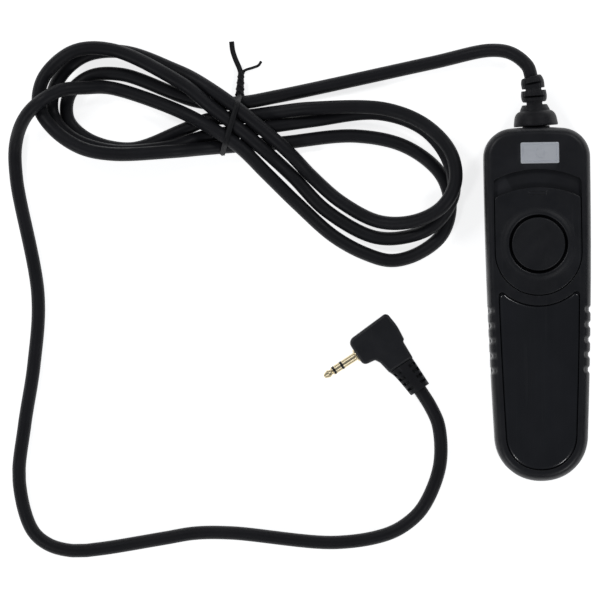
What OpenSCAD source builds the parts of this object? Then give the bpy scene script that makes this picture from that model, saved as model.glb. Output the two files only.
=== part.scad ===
// Wired remote shutter release: a two-part handle with a round two-stage shutter
// button on a lock slider, a ribbed strain relief, a thin cord tied in a hank,
// and a right-angle 2.5 mm three-pole plug.
// The handle lies on its back: +Z leaves the button face, +Y runs to the cord end.

/* [Handle] */
// Length of the handle along Y
handle_len = 104; // [102:1:108]
// Half of the width of the handle near the button
half_width = 15.6; // [15.4:0.1:16.4]
// Thickness of the handle, back to front face
handle_t = 17.5; // [17.5:0.1:18.5]
// Thickness of the cover walls
wall = 2; // [1.8:0.1:2.2]
// Height of the parting line between the covers
parting_z = 9; // [9:0.1:9.2]
// Radius of the corners at the cord end
corner_r = 8.5; // [8:0.5:10]

/* [Grip] */
// Number of grip grooves on each side
groove_count = 5; // [3:1:6]
// Distance between two grip grooves
groove_pitch = 4.4; // [4:0.1:4.8]
// Depth of a grip groove
groove_depth = 0.7; // [0.4:0.1:0.9]
// Width of the land between the edge and the grip panel
panel_land = 2.9; // [2.9:0.1:3.4]

/* [Slider and button] */
// Distance from the handle's middle to the button's centre
button_y = 17.6; // [17.2:0.1:18]
// Radius of the shutter button
button_r = 7.85; // [7.6:0.05:7.9]
// How far the button goes down
button_travel = 2; // [1.6:0.1:2]
// How far the lock slider moves
slide_travel = 4; // [3:0.5:4]
// Half of the width of the slider recess
recess_half_w = 12.85; // [12.6:0.05:13]
// Radial gap between the button and its barrel
button_gap = 0.1; // [0.08:0.01:0.15]

/* [Cord and plug] */
// Diameter of the cord
cord_d = 4; // [3.6:0.1:4]
// Radius of the plug's contact pin
pin_r = 1.25; // [1.25:0.01:1.25]
// Length of the contact pin in front of its collar
pin_len = 11; // [10.5:0.1:11.5]
// Thickness of the moulded plug head
plug_t = 7.6; // [7.2:0.1:7.6]

/* [Hidden] */
$fn = 64;
eps = 0.01;

// Handle outline
half_len = handle_len / 2;
taper = 0.00029;
corner_y = half_len - corner_r - 0.3;
corner_x = half_width - corner_r;
tail_r = half_width - taper * pow(handle_len - 14 - corner_r, 2);
tail_y = -half_len + tail_r;
tail_power = 2.1;
side_steps = 12;
arc_steps = 12;

// Levels inside the handle
floor_z = wall;
recess_z = handle_t - 1.7;
web_z = recess_z - 1.4;
board_z = 2.8;
board_t = 1.2;
board_top = board_z + board_t;
leaf_t = 0.3;
leaf_z = 6.6;
cord_z = 9;

// Slider and button
arc_y = 15.3;
recess_top_y = 39.5;
arch_r = 29;
slider_gap = 0.2;
slider_top_y = recess_top_y - 5.2;
slider_z = recess_z + 0.1;
barrel_r = 9.3;
slot_r = barrel_r + 0.3;
bore_r = button_r + button_gap;
keeper_r = 11.4;
keeper_z = web_z - 1.1;
keeper_t = 0.9;
bridge_z = 7.8;
bridge_t = 0.8;
flange_top = keeper_z - 0.1;
flange_t = 0.9;
flange_r = 8.8;
latch_y = button_y + slide_travel + button_r + 0.35;
catch_reach = latch_y - button_y - 0.4;
latch_top = flange_top - flange_t - 0.1;
stem_r = 1.5;
spring_r = 3.4;
spring_wire = 0.3;
spring_turns = 6;
spring_top = handle_t - 1.1;
plunger_tip_z = leaf_z + leaf_t + 0.1;

// Screws
cover_screw_at = [[10.6, 46.3], [-10.6, 46.3], [7.5, -43], [-7.5, -43]];
board_screw_at = [[6.5, 30.5], [-6.5, 30.5], [6.5, -13.5], [-6.5, -13.5]];
clamp_at = [[5.8, 41], [-5.8, 41]];
latch_at = [[9.5, 35.8], [-9.5, 35.8]];
hinge_y = -8;
focus_y = 5;
shutter_y = 19;

// Strain relief
relief_tilt = 3;
relief_len = 15;
cord_r = cord_d / 2;
relief_end = [-relief_len * sin(relief_tilt), half_len + relief_len * cos(relief_tilt), cord_z];
jacket_path = [[0, 36.8, cord_z], [0, half_len, cord_z], relief_end];
relief_bore = [[0, 44, cord_z], [0, half_len, cord_z], 2 * relief_end - [0, half_len, cord_z]];

// Plug: the pin's axis points along plug_turn, the boot leaves at a right angle
plug_at = [-45.2, -8.9, plug_t / 2];
plug_turn = 212.3;
pin_root = 9.8;
collar_len = 0.7;
boot_start = 9.6;
boot_end = 18.6;

// Route of the cord's centre line, from the strain relief to the plug
route = [
    // out of the strain relief and across to the tie
    [-0.84, 67.15, 9], [-0.95, 68.1, 9], [-2.2, 69.9, 8.8], [-6.7, 73.7, 7.4], [-13, 74.8, 5.2],
    [-30, 71.5, 2.2], [-75.5, 62.4, 2], [-87, 60.6, 3],
    // inner left loop
    [-99, 61.2, 2.2], [-121.5, 70, 2], [-131, 69.5, 2], [-137, 64, 2], [-137.5, 56.5, 2],
    [-131.5, 50.5, 2], [-119, 47.6, 2], [-104, 52.8, 2], [-96.5, 55.8, 2.2], [-87, 56.4, 3],
    // top right loop
    [-76.5, 57.6, 3.4], [-66, 58.6, 5.6], [-44, 58, 6.6], [-32, 52.8, 8], [-25, 44.5, 9.8],
    [-24, 36, 10.5], [-28, 29, 10], [-36, 25, 7.2], [-46.5, 25, 3.6], [-57.4, 30.8, 2.4],
    [-66, 38.5, 3.2], [-73, 46, 6.6], [-87, 58.4, 7.4],
    // middle left loop
    [-95, 64.4, 6], [-105, 70.6, 2.4], [-121, 77, 2], [-132.5, 75.8, 2.2], [-140.4, 68.2, 2.4],
    [-142.1, 58.6, 3.4], [-136.6, 51.2, 6.4], [-124.5, 47, 6.4], [-107, 48, 5.4], [-97.5, 50.8, 2.8],
    [-87, 52.2, 3],
    // middle right loop
    [-66, 55, 2], [-46, 56.8, 2], [-33, 52, 3.4], [-26, 43, 5.4], [-24.5, 33, 6.4],
    [-30, 24, 5.4], [-38, 20.5, 2.8], [-48, 20.5, 2], [-62, 28.5, 2], [-71.5, 38.5, 3],
    [-79.2, 45.8, 6.6], [-87, 52.8, 7.4],
    // outer left loop
    [-95.5, 59.6, 7.2], [-104, 66.8, 6.9], [-124, 77.5, 6.4], [-135.5, 77.3, 6.3],
    [-144.3, 69.4, 6.2], [-145.9, 60.5, 6.6], [-141.5, 53.4, 9.4], [-133.7, 48, 10.7],
    [-124.5, 46, 10.8], [-107, 46.5, 9.7], [-97, 47.3, 5.2], [-87, 48, 3],
    // bottom right loop
    [-75, 48.6, 2.2], [-53, 50.3, 2], [-38, 46.8, 2], [-28, 38.5, 2], [-25.5, 29.5, 2],
    [-28, 21, 2], [-35, 15.5, 2], [-43, 13.5, 2], [-51, 15.8, 2], [-60, 21, 2],
    [-70, 30.2, 2.4], [-79.5, 39.8, 5.6], [-87, 47.4, 7.6],
    // over the left loops and down to the plug
    [-96, 53.6, 7.4], [-105, 58.5, 4.4], [-124.5, 65.8, 3], [-131.5, 66, 6.6],
    [-139.5, 65.2, 10.2], [-145, 62.2, 11.3], [-150, 57.2, 8.6], [-153, 49.5, 3],
    [-153, 39.5, 2], [-147.2, 5, 2], [-148.7, -15.3, 2], [-151.8, -33.5, 2],
    [-153.6, -49.5, 2], [-150.1, -63.9, 2], [-145.3, -68.4, 2], [-138, -70.4, 2],
    [-130.5, -70, 2], [-111.5, -67.2, 2], [-102, -65.8, 2], [-91.5, -65.9, 2],
    [-61, -69.2, 2], [-46, -67.1, 2], [-39.5, -63.8, 2], [-34.6, -58.8, 2],
    [-29.8, -47.1, 2], [-29.9, -35.5, 2.6], [-32.1, -29.9, 3.2], [-35.3, -24.6, 3.8]
];

// Twist tie: a flat wire band around the hank, with a twisted stem and two tails
tie_at = [-89.6, 54.1];
tie_turn = -17.5;
tie_half_w = 9.8;
tie_height = 10.3;
tie_w = 1.6;
tie_t = 0.5;
stem_from = [-86.7, 63.2, 1.3];
stem_to = [-86.4, 69.2, 1.3];
long_tail = [-89.1, 78.5, 0.8];
short_tail = [[-81, 71.2, 0.9], [-80.3, 72.8, 0.7]];

// ---------------------------------------------------------------- functions

// Half of the handle's width at a height y of its straight side
function side_x(y) = half_width - taper * pow(corner_y - y, 2);

// Points of an arc about a centre
function arc_points(centre, r, from, to, steps) =
    [for (i = [0 : steps])
        centre + r * [cos(from + (to - from) * i / steps), sin(from + (to - from) * i / steps)]];

// Right half of the handle's outline, from the crown to the tail
right_half = concat(
    [[3.9, half_len - 0.1]],
    arc_points([corner_x, corner_y], corner_r, 80, 0, arc_steps),
    [for (i = [1 : side_steps - 1])
        let (y = corner_y + (tail_y - corner_y) * i / side_steps) [side_x(y), y]],
    [for (i = [0 : arc_steps - 1])
        let (a = 90 * i / arc_steps)
        [tail_r * pow(cos(a), 2 / tail_power), tail_y - tail_r * pow(sin(a), 2 / tail_power)]]
);

function mirrored(points) =
    [for (i = [len(points) - 1 : -1 : 0]) [-points[i][0], points[i][1]]];

function unit(v) = v / norm(v);

// Direction of a path at its point i
function heading(path, i) =
    unit(path[min(i + 1, len(path) - 1)] - path[max(i - 1, 0)]);

// Ring of points around a path's point i
function ring_at(path, i, r, sides) =
    let (t = heading(path, i), s = unit(cross([0, 0, 1], t)), u = cross(t, s))
    [for (k = [0 : sides - 1])
        path[i] + r * (cos(360 * k / sides) * s + sin(360 * k / sides) * u)];

// ---------------------------------------------------------------- helpers

// Round tube along a path, as one closed solid
module swept(path, r, sides) {
    n = len(path);
    rings = [for (i = [0 : n - 1]) each ring_at(path, i, r, sides)];
    walls = [for (i = [0 : n - 2], k = [0 : sides - 1])
        let (a = i * sides + k, b = i * sides + (k + 1) % sides)
        each [[a, b + sides, b], [a, a + sides, b + sides]]];
    first = [for (k = [0 : sides - 1]) k];
    last = [for (k = [sides - 1 : -1 : 0]) (n - 1) * sides + k];
    polyhedron(rings, concat([first], walls, [last]), convexity = 10);
}

module outline(inset) {
    offset(delta = -inset)
        polygon(concat(right_half, [[0, -half_len]], mirrored(right_half), [[0, half_len]]));
}

module sheet_at(z, inset) {
    translate([0, 0, z]) linear_extrude(eps) outline(inset);
}

module at_all(places) {
    for (p = places) translate([p[0], p[1], 0]) children();
}

module bar(from, to) {
    translate(from) cube(to - from);
}

module post(r, from_z, to_z) {
    translate([0, 0, from_z]) cylinder(r = r, h = to_z - from_z);
}

// Straight rod between two points
module rod(from, to, r) {
    d = to - from;
    translate(from) rotate([0, acos(d[2] / norm(d)), atan2(d[1], d[0])])
        cylinder(r = r, h = norm(d), $fn = 24);
}

// Pan-head screw pointing up, with a cross recess in its head
module screw(head_r, head_t, shank_r, shank_len) {
    difference() {
        union() {
            cylinder(r = head_r, h = head_t);
            translate([0, 0, head_t]) cylinder(r = shank_r, h = shank_len);
        }
        for (turn = [0, 90])
            rotate([0, 0, turn])
                translate([-head_r * 0.62, -head_r * 0.13, -eps])
                    cube([head_r * 1.24, head_r * 0.26, head_t * 0.55]);
    }
}

// Same screw pointing down, its head on top of a seat at z
module screw_down(z, head_r, head_t, shank_r, shank_len) {
    translate([0, 0, z + head_t]) rotate([180, 0, 0]) screw(head_r, head_t, shank_r, shank_len);
}

module grip_grooves() {
    for (i = [0 : groove_count - 1], side = [-1, 1]) {
        y = -1.8 - i * groove_pitch;
        translate([side * (side_x(y) + 1 - groove_depth), y, 2.6])
            cylinder(r = 1, h = handle_t - 4.4, $fn = 24);
    }
}

module recess_shape(gap, top_y) {
    intersection() {
        translate([0, top_y - arch_r]) circle(r = arch_r, $fn = 128);
        union() {
            translate([0, arc_y]) circle(r = recess_half_w - gap, $fn = 96);
            translate([gap - recess_half_w, arc_y]) square([2 * (recess_half_w - gap), arch_r]);
        }
    }
}

module panel_shape(gap) {
    difference() {
        outline(panel_land + gap);
        translate([0, arc_y]) circle(r = recess_half_w + panel_land + gap, $fn = 96);
        translate([-20, 5.6 - gap]) square([40, 60]);
    }
}

module slot_shape() {
    translate([0, button_y]) circle(r = slot_r);
    translate([0, button_y + slide_travel]) circle(r = slot_r);
    translate([-slot_r, button_y]) square([2 * slot_r, slide_travel]);
}

module badge_shape(gap) {
    translate([0.8 - 5.75 + gap, 44.3 - 3.2 + gap]) square([11.5 - 2 * gap, 6.4 - 2 * gap]);
}

// ---------------------------------------------------------------- handle

module bottom_cover() {
    color("#1d1f22") difference() {
        union() {
            difference() {
                hull() {
                    sheet_at(0, 3.6);
                    sheet_at(0.35, 2.2);
                    sheet_at(1.3, 1);
                    sheet_at(3, 0.2);
                    sheet_at(parting_z - 2 * eps, 0);
                }
                translate([0, 0, floor_z]) linear_extrude(handle_t) outline(wall);
            }
            at_all(cover_screw_at) post(2.8, floor_z - 0.5, parting_z - 0.05);
            at_all(board_screw_at) post(2.2, floor_z - 0.5, board_z);
            at_all(clamp_at) post(2.4, floor_z - 0.5, parting_z + 0.1);
            bar([-4, 45.2, floor_z - 0.5], [4, 46.6, parting_z - 1]);
            for (y = [-24, -34]) bar([-10, y, floor_z - 0.5], [10, y + 1.2, 5]);
        }
        at_all(cover_screw_at) {
            post(2.1, -eps, 2);
            post(1.15, 1, parting_z + 1);
        }
        at_all(board_screw_at) post(0.8, 0.9, board_z + 1);
        at_all(clamp_at) post(0.8, 3, parting_z + 1);
        translate([0, 30, cord_z]) rotate([-90, 0, 0]) cylinder(r = cord_r + 0.05, h = 18);
        translate([0, 44, cord_z]) rotate([-90, 0, 0]) cylinder(r = 4.05, h = 12);
        grip_grooves();
    }
}

module top_cover() {
    color("#1d1f22") difference() {
        union() {
            difference() {
                hull() {
                    sheet_at(parting_z, 0);
                    sheet_at(handle_t - 3.2, 0.15);
                    sheet_at(handle_t - 1.4, 0.9);
                    sheet_at(handle_t - 0.4, 2);
                    sheet_at(handle_t - eps, 3.4);
                }
                translate([0, 0, parting_z - 1]) linear_extrude(web_z - parting_z + 1) outline(wall);
            }
            at_all(cover_screw_at) post(2.8, parting_z, web_z + 0.5);
            at_all(latch_at) post(2, latch_top + 0.05, web_z + 0.5);
            bar([11.5, 7, web_z - 2.2], [13.2, 10, web_z + 0.5]);
        }
        translate([0, 0, recess_z]) linear_extrude(5) recess_shape(0, recess_top_y);
        translate([0, 0, web_z - 1]) linear_extrude(5) slot_shape();
        translate([0, 0, handle_t - 0.9]) linear_extrude(5) panel_shape(0);
        translate([0, 0, handle_t - 0.3]) linear_extrude(5) badge_shape(0);
        at_all(cover_screw_at) post(1, parting_z - 1, web_z + 0.2);
        at_all(latch_at) post(0.8, latch_top - 1, web_z + 0.2);
        bar([11.9, 6.8, web_z - 2.3], [12.4, 10.2, web_z]);
        translate([0, 44, cord_z]) rotate([-90, 0, 0]) cylinder(r = 4.05, h = 12);
        grip_grooves();
    }
}

module grip_panel() {
    color("#26282b") translate([0, 0, handle_t - 0.85]) linear_extrude(1.05) panel_shape(0.3);
}

module badge() {
    color("#b9bcc0") translate([0, 0, handle_t - 0.28]) difference() {
        linear_extrude(0.5) badge_shape(0.1);
        translate([0, 0, 0.4]) linear_extrude(1) difference() {
            badge_shape(0.6);
            badge_shape(0.9);
        }
        translate([0.8, 44.3, 0.4]) difference() {
            cylinder(r = 1.5, h = 1);
            translate([0, 0, -eps]) cylinder(r = 1.1, h = 2);
        }
    }
}

module cover_screws() {
    color("#8d9196") at_all(cover_screw_at)
        translate([0, 0, 0.5]) screw(1.9, 1.5, 0.98, 11.2);
}

// ---------------------------------------------------------------- slider and button

module lock_slider() {
    color("#202225") translate([0, 0, slider_z]) difference() {
        union() {
            linear_extrude(handle_t - slider_z) recess_shape(slider_gap, slider_top_y);
            translate([0, button_y, 0]) {
                post(10, 0, handle_t - slider_z + 0.3);
                translate([0, 0, handle_t - slider_z + 0.3]) cylinder(r1 = 10, r2 = 9.2, h = 0.4);
                post(barrel_r, keeper_z - slider_z, 1);
            }
            bar([-2.65, 32.2, 1], [2.65, 32.8, handle_t - slider_z + 0.4]);
        }
        translate([0, button_y, keeper_z - slider_z - eps]) cylinder(r = bore_r, h = 10);
        translate([0, button_y, handle_t - slider_z + 0.2]) cylinder(r1 = bore_r, r2 = 8.7, h = 0.6);
    }
}

// Ring pressed on the barrel under the cover's web, with a bridge that seats the spring
module keeper_ring() {
    color("#d9d6cc") translate([0, button_y, 0]) {
        difference() {
            post(keeper_r, keeper_z + 0.1, keeper_z + keeper_t);
            post(barrel_r + 0.02, keeper_z - 1, keeper_z + 3);
        }
        for (side = [-1, 1])
            bar([side * 10.05 - 0.6, -2.5, bridge_z], [side * 10.05 + 0.6, 2.5, keeper_z + 0.5]);
        difference() {
            bar([-10.6, -2.5, bridge_z], [10.6, 2.5, bridge_z + bridge_t]);
            post(stem_r + 0.1, bridge_z - 1, bridge_z + 2);
        }
        difference() {
            post(4.3, bridge_z, bridge_z + bridge_t + 0.5);
            post(3.9, bridge_z + bridge_t, bridge_z + 3);
            post(stem_r + 0.1, bridge_z - 1, bridge_z + 3);
        }
    }
}

module shutter_button() {
    color("#17181a") translate([0, button_y, 0]) difference() {
        union() {
            post(button_r, flange_top - flange_t, handle_t + 0.3);
            translate([0, 0, handle_t + 0.3])
                cylinder(r1 = button_r, r2 = button_r - 0.5, h = 0.35);
            post(flange_r, flange_top - flange_t, flange_top);
            bar([-3, 0, flange_top - flange_t], [3, catch_reach, flange_top]);
        }
        translate([0, 0, handle_t + 25.3]) sphere(r = 25, $fn = 128);
        difference() {
            post(6.5, flange_top - flange_t - 1, spring_top);
            post(2.6, flange_top - flange_t - 2, spring_top + 1);
        }
        post(2.7, flange_top - flange_t - 1, spring_top - 2);
        post(stem_r + 0.02, spring_top - 3, spring_top - 0.5);
    }
}

module button_plunger() {
    color("#e4e1d8") translate([0, button_y, 0]) {
        post(stem_r, plunger_tip_z + stem_r, spring_top - 0.6);
        translate([0, 0, plunger_tip_z + stem_r]) sphere(r = stem_r);
    }
}

module return_spring() {
    steps = 12 * spring_turns;
    low = bridge_z + bridge_t + spring_wire + 0.05;
    high = spring_top - spring_wire - 0.05;
    helix = [for (i = [0 : steps])
        let (a = 360 * spring_turns * i / steps)
        [spring_r * cos(a), button_y + spring_r * sin(a), low + (high - low) * i / steps]];
    color("#b5b8bb") swept(helix, spring_wire, 6);
}

module latch_plate() {
    color("#9a9da1") difference() {
        bar([-11.8, latch_y, latch_top - 0.9], [11.8, 38, latch_top]);
        at_all(latch_at) post(0.95, latch_top - 2, latch_top + 1);
    }
}

module latch_screws() {
    color("#8d9196") at_all(latch_at)
        translate([0, 0, latch_top - 1.85]) screw(1.5, 0.9, 0.78, 2.9);
}

module detent_spring() {
    color("#b5b8bb") {
        bar([12, 6.9, web_z - 1.7], [12.3, 27, web_z - 0.2]);
        translate([12.3, 24, web_z - 1.7]) difference() {
            cylinder(r = 1, h = 1.5);
            bar([0, -2, -1], [2, 2, 3]);
        }
    }
}

// ---------------------------------------------------------------- contacts and wiring

module circuit_board() {
    color("#2f6b3a") difference() {
        bar([-9, -16.5, board_z + 0.02], [9, 33.5, board_top]);
        at_all(board_screw_at) post(0.95, 0, 8);
    }
}

module board_screws() {
    color("#8d9196") at_all(board_screw_at) screw_down(board_top + 0.02, 1.6, 1.1, 0.78, 2.8);
}

module common_bracket() {
    color("#c9a14a") difference() {
        union() {
            bar([-2.5, -13, board_top + 0.02], [2.5, -12.5, leaf_z + 1]);
            bar([-2.5, -13, board_top + 0.02], [2.5, -5, board_top + 0.4]);
            bar([-2.5, -13, leaf_z - 0.3], [2.5, hinge_y - 0.3, leaf_z + 1]);
        }
        translate([0, -10.3, 0]) post(0.9, 0, board_top + 1);
        translate([0, -6.4, 0]) post(0.62, 0, board_top + 1);
    }
}

// Springy common contact, pressed down by the plunger at its free end
module common_leaf() {
    color("#d8b45c") {
        bar([-2.2, hinge_y - 0.05, leaf_z], [2.2, shutter_y + 3, leaf_z + leaf_t]);
        for (y = [focus_y, shutter_y])
            translate([0, y, leaf_z - 0.15]) cylinder(r = 0.8, h = 0.3);
    }
}

// Raised contact under the middle of the leaf, the first that the leaf reaches
module focus_contact() {
    top = leaf_z - 1.3;
    color("#c9a14a") translate([0, focus_y, 0]) difference() {
        union() {
            bar([-5.5, -1.5, board_top + 0.02], [-2.9, 1.5, board_top + 0.3]);
            bar([-3.2, -1.5, board_top + 0.02], [-2.9, 1.5, top]);
            bar([-3.2, -1.5, top - 0.25], [1.5, 1.5, top]);
        }
        translate([-4.4, 0, 0]) post(0.62, 0, board_top + 1);
    }
}

// Low contact under the free end of the leaf, reached at full travel
module shutter_contact() {
    color("#c9a14a") translate([0, shutter_y, 0]) difference() {
        bar([-5.5, -1.5, board_top + 0.02], [1.5, 1.5, board_top + 0.22]);
        translate([-4.4, 0, 0]) post(0.62, 0, board_top + 1);
    }
}

module contact_rivets() {
    color("#a8842f") {
        for (p = [[-4.4, focus_y, 0.3], [-4.4, shutter_y, 0.22], [0, -6.4, 0.4]])
            translate([p[0], p[1], board_top + p[2] + 0.02]) cylinder(r = 0.95, h = 0.35);
    }
}

module inner_wire(x, pad_x, pad_y) {
    swept([[x * 0.4, 36.4, cord_z - 0.4], [x * 0.7, 35, cord_z - 1.3], [x, 33.8, cord_z - 3],
        [pad_x, pad_y + 2.6, board_top + 2], [pad_x, pad_y, board_top + 0.8]], 0.45, 8);
}

module wire_focus() {
    color("#c23b2e") inner_wire(2.6, 3.6, 29);
}

module wire_shutter() {
    color("#e8e6df") inner_wire(0, 0, 29);
}

module wire_ground() {
    color("#c98a4b") inner_wire(-2.6, -3.6, 29);
}

module solder_joints() {
    color("#c4c7ca") for (x = [-3.6, 0, 3.6])
        translate([x, 28.6, board_top + 0.02]) cylinder(r1 = 1.1, r2 = 0.6, h = 0.3);
}

// ---------------------------------------------------------------- cord, clamp and tie

module cable_clamp() {
    color("#2a2c2f") difference() {
        bar([-8.4, 39, parting_z + 0.15], [8.4, 43, cord_z + 3.3]);
        translate([0, 38, cord_z]) rotate([-90, 0, 0]) cylinder(r = cord_r + 0.02, h = 6);
        at_all(clamp_at) post(0.95, 0, 20);
    }
}

module clamp_screws() {
    color("#8d9196") at_all(clamp_at) screw_down(cord_z + 3.32, 1.6, 1.1, 0.78, 7.5);
}

// Jacket inside the strain relief and the clamp
module cable_end() {
    color("#1b1c1e") swept(jacket_path, cord_r, 16);
}

// Ribbed boot moulded on the cord; its inner flange is held between the covers
module strain_relief() {
    color("#222427") difference() {
        union() {
            translate([0, 48.1, cord_z]) rotate([-90, 0, 0]) {
                cylinder(r = 5.4, h = 1.4);
                cylinder(r = 4, h = 4.6);
            }
            translate([0, half_len, cord_z]) rotate([0, 0, relief_tilt]) rotate([-90, 0, 0])
                rotate_extrude() polygon([
                    [0, 0.45], [6.4, 0.45], [6.3, 2], [6.05, 3], [5.6, 4], [5.1, 4.5],
                    [4.3, 4.7], [4, 6], [3.7, 6.5], [2.75, 6.7], [2.75, 7.4], [3.5, 7.6],
                    [3.7, 9], [3.6, 11], [2.9, 11.2], [2.9, 11.6],
                    [3.35, 11.8], [3.3, 13.9], [2.9, relief_len], [0, relief_len]]);
        }
        swept(relief_bore, cord_r + 0.05, 16);
    }
}

module cord() {
    color("#18191b") swept(route, cord_r, 8);
}

module twist_tie() {
    color("#141517") {
        translate([tie_at[0], tie_at[1], 0]) rotate([0, 0, tie_turn]) difference() {
            bar([-tie_w / 2, -tie_half_w, 0], [tie_w / 2, tie_half_w, tie_height]);
            bar([-tie_w, tie_t - tie_half_w, tie_t], [tie_w, tie_half_w - tie_t, tie_height - tie_t]);
        }
        rod(stem_from, stem_to, 1.2);
        rod(stem_to, long_tail, 0.7);
        rod(stem_to, short_tail[0], 0.5);
        rod(short_tail[0], short_tail[1], 0.5);
    }
}

// ---------------------------------------------------------------- plug

// Places a piece on the pin's axis, with +X towards the tip
module on_plug() {
    translate(plug_at) rotate([0, 0, plug_turn]) children();
}

// One stretch of the pin, measured back from its tip
module pin_piece(from, to, r) {
    on_plug() translate([pin_root + collar_len + pin_len - to, 0, 0])
        rotate([0, 90, 0]) cylinder(r = r, h = to - from);
}

// Right-angle head: the pin leaves at the front, a tapering neck at the side
module plug_body() {
    color("#1f2124") on_plug() difference() {
        union() {
            hull() {
                for (corner = [[-3.5, -4.9], [-3.4, 2.5], [8.4, -4.2], [8.5, 2.6]], z = [-2.8, 2.8])
                    translate([corner[0], corner[1], z]) sphere(r = 0.7, $fn = 16);
                for (z = [-1, 1])
                    translate([2.6, -0.8, z * (plug_t / 2 - 0.05)])
                        cylinder(r = 2.6, h = 0.1, center = true, $fn = 32);
                bar([-4.5, -3.6, -2.5], [pin_root, 2.2, 2.5]);
            }
            translate([0, 0, 0.4 - plug_t / 2]) linear_extrude(plug_t - 0.8)
                polygon([[-3.7, 0], [6, 0], [6, 3.8], [5.5, 5.2],
                    [4.7, boot_start - 0.1], [-3.3, boot_start - 0.1]]);
        }
        rotate([0, 90, 0]) cylinder(r = 1.3, h = 20);
    }
}

// Ribbed boot, moulded around the cord, with four slots on each side
module plug_boot() {
    color("#232528") on_plug() translate([0, boot_start, 0]) rotate([-90, 0, 0]) difference() {
        hull() {
            translate([-3.2, 0.45 - plug_t / 2, 0]) cube([7.6, plug_t - 0.9, 0.6]);
            translate([0, 0, boot_end - boot_start - 0.5]) cylinder(r = 3.1, h = 0.5, $fn = 32);
        }
        for (k = [0 : 3], z = [-3.6, 3.6])
            translate([0, z, 1.5 + 1.9 * k])
                cube([9, 1.4, 0.8], center = true);
        translate([0, 0, 1.5]) cylinder(r = cord_r + 0.02, h = 20);
    }
}

module plug_collar() {
    color("#c9a24a") pin_piece(pin_len + 0.01, pin_len + collar_len + 2, 1.29);
    color("#c9a24a") pin_piece(pin_len + 0.01, pin_len + collar_len - 0.02, 1.95);
}

module plug_sleeve() {
    color("#d4af55") pin_piece(6.46, pin_len, pin_r);
}

module plug_ring() {
    color("#d4af55") pin_piece(3.81, 5.94, pin_r);
}

module plug_insulators() {
    color("#101112") {
        pin_piece(3.3, 3.8, pin_r);
        pin_piece(5.95, 6.45, pin_r);
    }
}

module plug_tip() {
    color("#d4af55") on_plug() translate([pin_root + collar_len + pin_len, 0, 0])
        rotate([0, -90, 0]) rotate_extrude() polygon([
            [0, 0], [0.42, 0.06], [0.75, 0.3], [1.22, 1.55], [1.22, 1.75],
            [0.86, 2.35], [0.86, 2.6], [pin_r, 3], [pin_r, 3.29], [0, 3.29]]);
}

bottom_cover();
top_cover();
grip_panel();
badge();
cover_screws();
lock_slider();
keeper_ring();
shutter_button();
button_plunger();
return_spring();
latch_plate();
latch_screws();
detent_spring();
circuit_board();
board_screws();
common_bracket();
common_leaf();
focus_contact();
shutter_contact();
contact_rivets();
wire_focus();
wire_shutter();
wire_ground();
solder_joints();
cable_clamp();
clamp_screws();
cable_end();
strain_relief();
cord();
twist_tie();
plug_body();
plug_boot();
plug_collar();
plug_sleeve();
plug_ring();
plug_tip();
plug_insulators();
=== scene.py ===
"""Looks of a wired shutter release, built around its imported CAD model.

Shapes are worked out in millimetres in the model's own frame, and meshes are made in metres.
"""

import math

import bmesh
import bpy
import numpy as np
from mathutils import Matrix, Vector
from mathutils.geometry import delaunay_2d_cdt


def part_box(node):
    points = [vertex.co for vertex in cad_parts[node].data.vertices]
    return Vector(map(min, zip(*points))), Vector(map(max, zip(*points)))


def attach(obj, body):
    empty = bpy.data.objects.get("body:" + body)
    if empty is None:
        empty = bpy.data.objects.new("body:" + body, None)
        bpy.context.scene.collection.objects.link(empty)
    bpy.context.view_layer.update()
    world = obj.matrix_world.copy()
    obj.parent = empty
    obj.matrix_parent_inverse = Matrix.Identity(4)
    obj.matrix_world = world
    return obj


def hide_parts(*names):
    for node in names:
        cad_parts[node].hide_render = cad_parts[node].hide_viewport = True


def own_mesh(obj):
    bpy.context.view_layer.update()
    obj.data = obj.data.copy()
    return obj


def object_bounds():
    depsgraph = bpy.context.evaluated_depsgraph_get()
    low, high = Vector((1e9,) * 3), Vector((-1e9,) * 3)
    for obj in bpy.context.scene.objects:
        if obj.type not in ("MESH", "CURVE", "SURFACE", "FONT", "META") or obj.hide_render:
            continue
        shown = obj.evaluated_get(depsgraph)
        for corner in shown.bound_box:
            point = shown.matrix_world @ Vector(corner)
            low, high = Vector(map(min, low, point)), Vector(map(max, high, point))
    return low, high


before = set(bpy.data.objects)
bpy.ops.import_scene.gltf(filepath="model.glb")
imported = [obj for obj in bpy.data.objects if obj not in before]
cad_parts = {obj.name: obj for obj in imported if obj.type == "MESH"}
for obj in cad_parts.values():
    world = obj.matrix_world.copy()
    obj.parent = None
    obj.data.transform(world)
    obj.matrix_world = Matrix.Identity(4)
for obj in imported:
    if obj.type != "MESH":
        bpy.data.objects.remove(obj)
cad_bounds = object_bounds()
MM = 0.001


def node_box(node):
    """Lowest and highest corner of a CAD node, in millimetres."""
    low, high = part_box(node)
    return np.array(low) / MM, np.array(high) / MM


# ------------------------------------------------------------------ camera

CAMERA_HEIGHT = 3.0
SENSOR = 36.0
# How much wider than the object the view is, and how far its middle lies from the object's
VIEW_MARGIN = 0.00498
VIEW_LEFT = 0.00012
VIEW_DOWN = 0.00119
CAMERA_TURN = math.radians(-0.92)


def make_camera():
    """A camera above the object that looks straight down."""
    low, high = (Vector(v) for v in cad_bounds)
    middle = (low + high) / 2
    data = bpy.data.cameras.new("camera")
    data.sensor_width = SENSOR
    data.lens = SENSOR * CAMERA_HEIGHT / (high.x - low.x + VIEW_MARGIN)
    camera = bpy.data.objects.new("camera", data)
    camera.location = (middle.x - VIEW_LEFT, middle.y - VIEW_DOWN, middle.z + CAMERA_HEIGHT)
    camera.rotation_euler = (0, 0, CAMERA_TURN)
    bpy.context.scene.collection.objects.link(camera)
    bpy.context.scene.camera = camera


make_camera()

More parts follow.
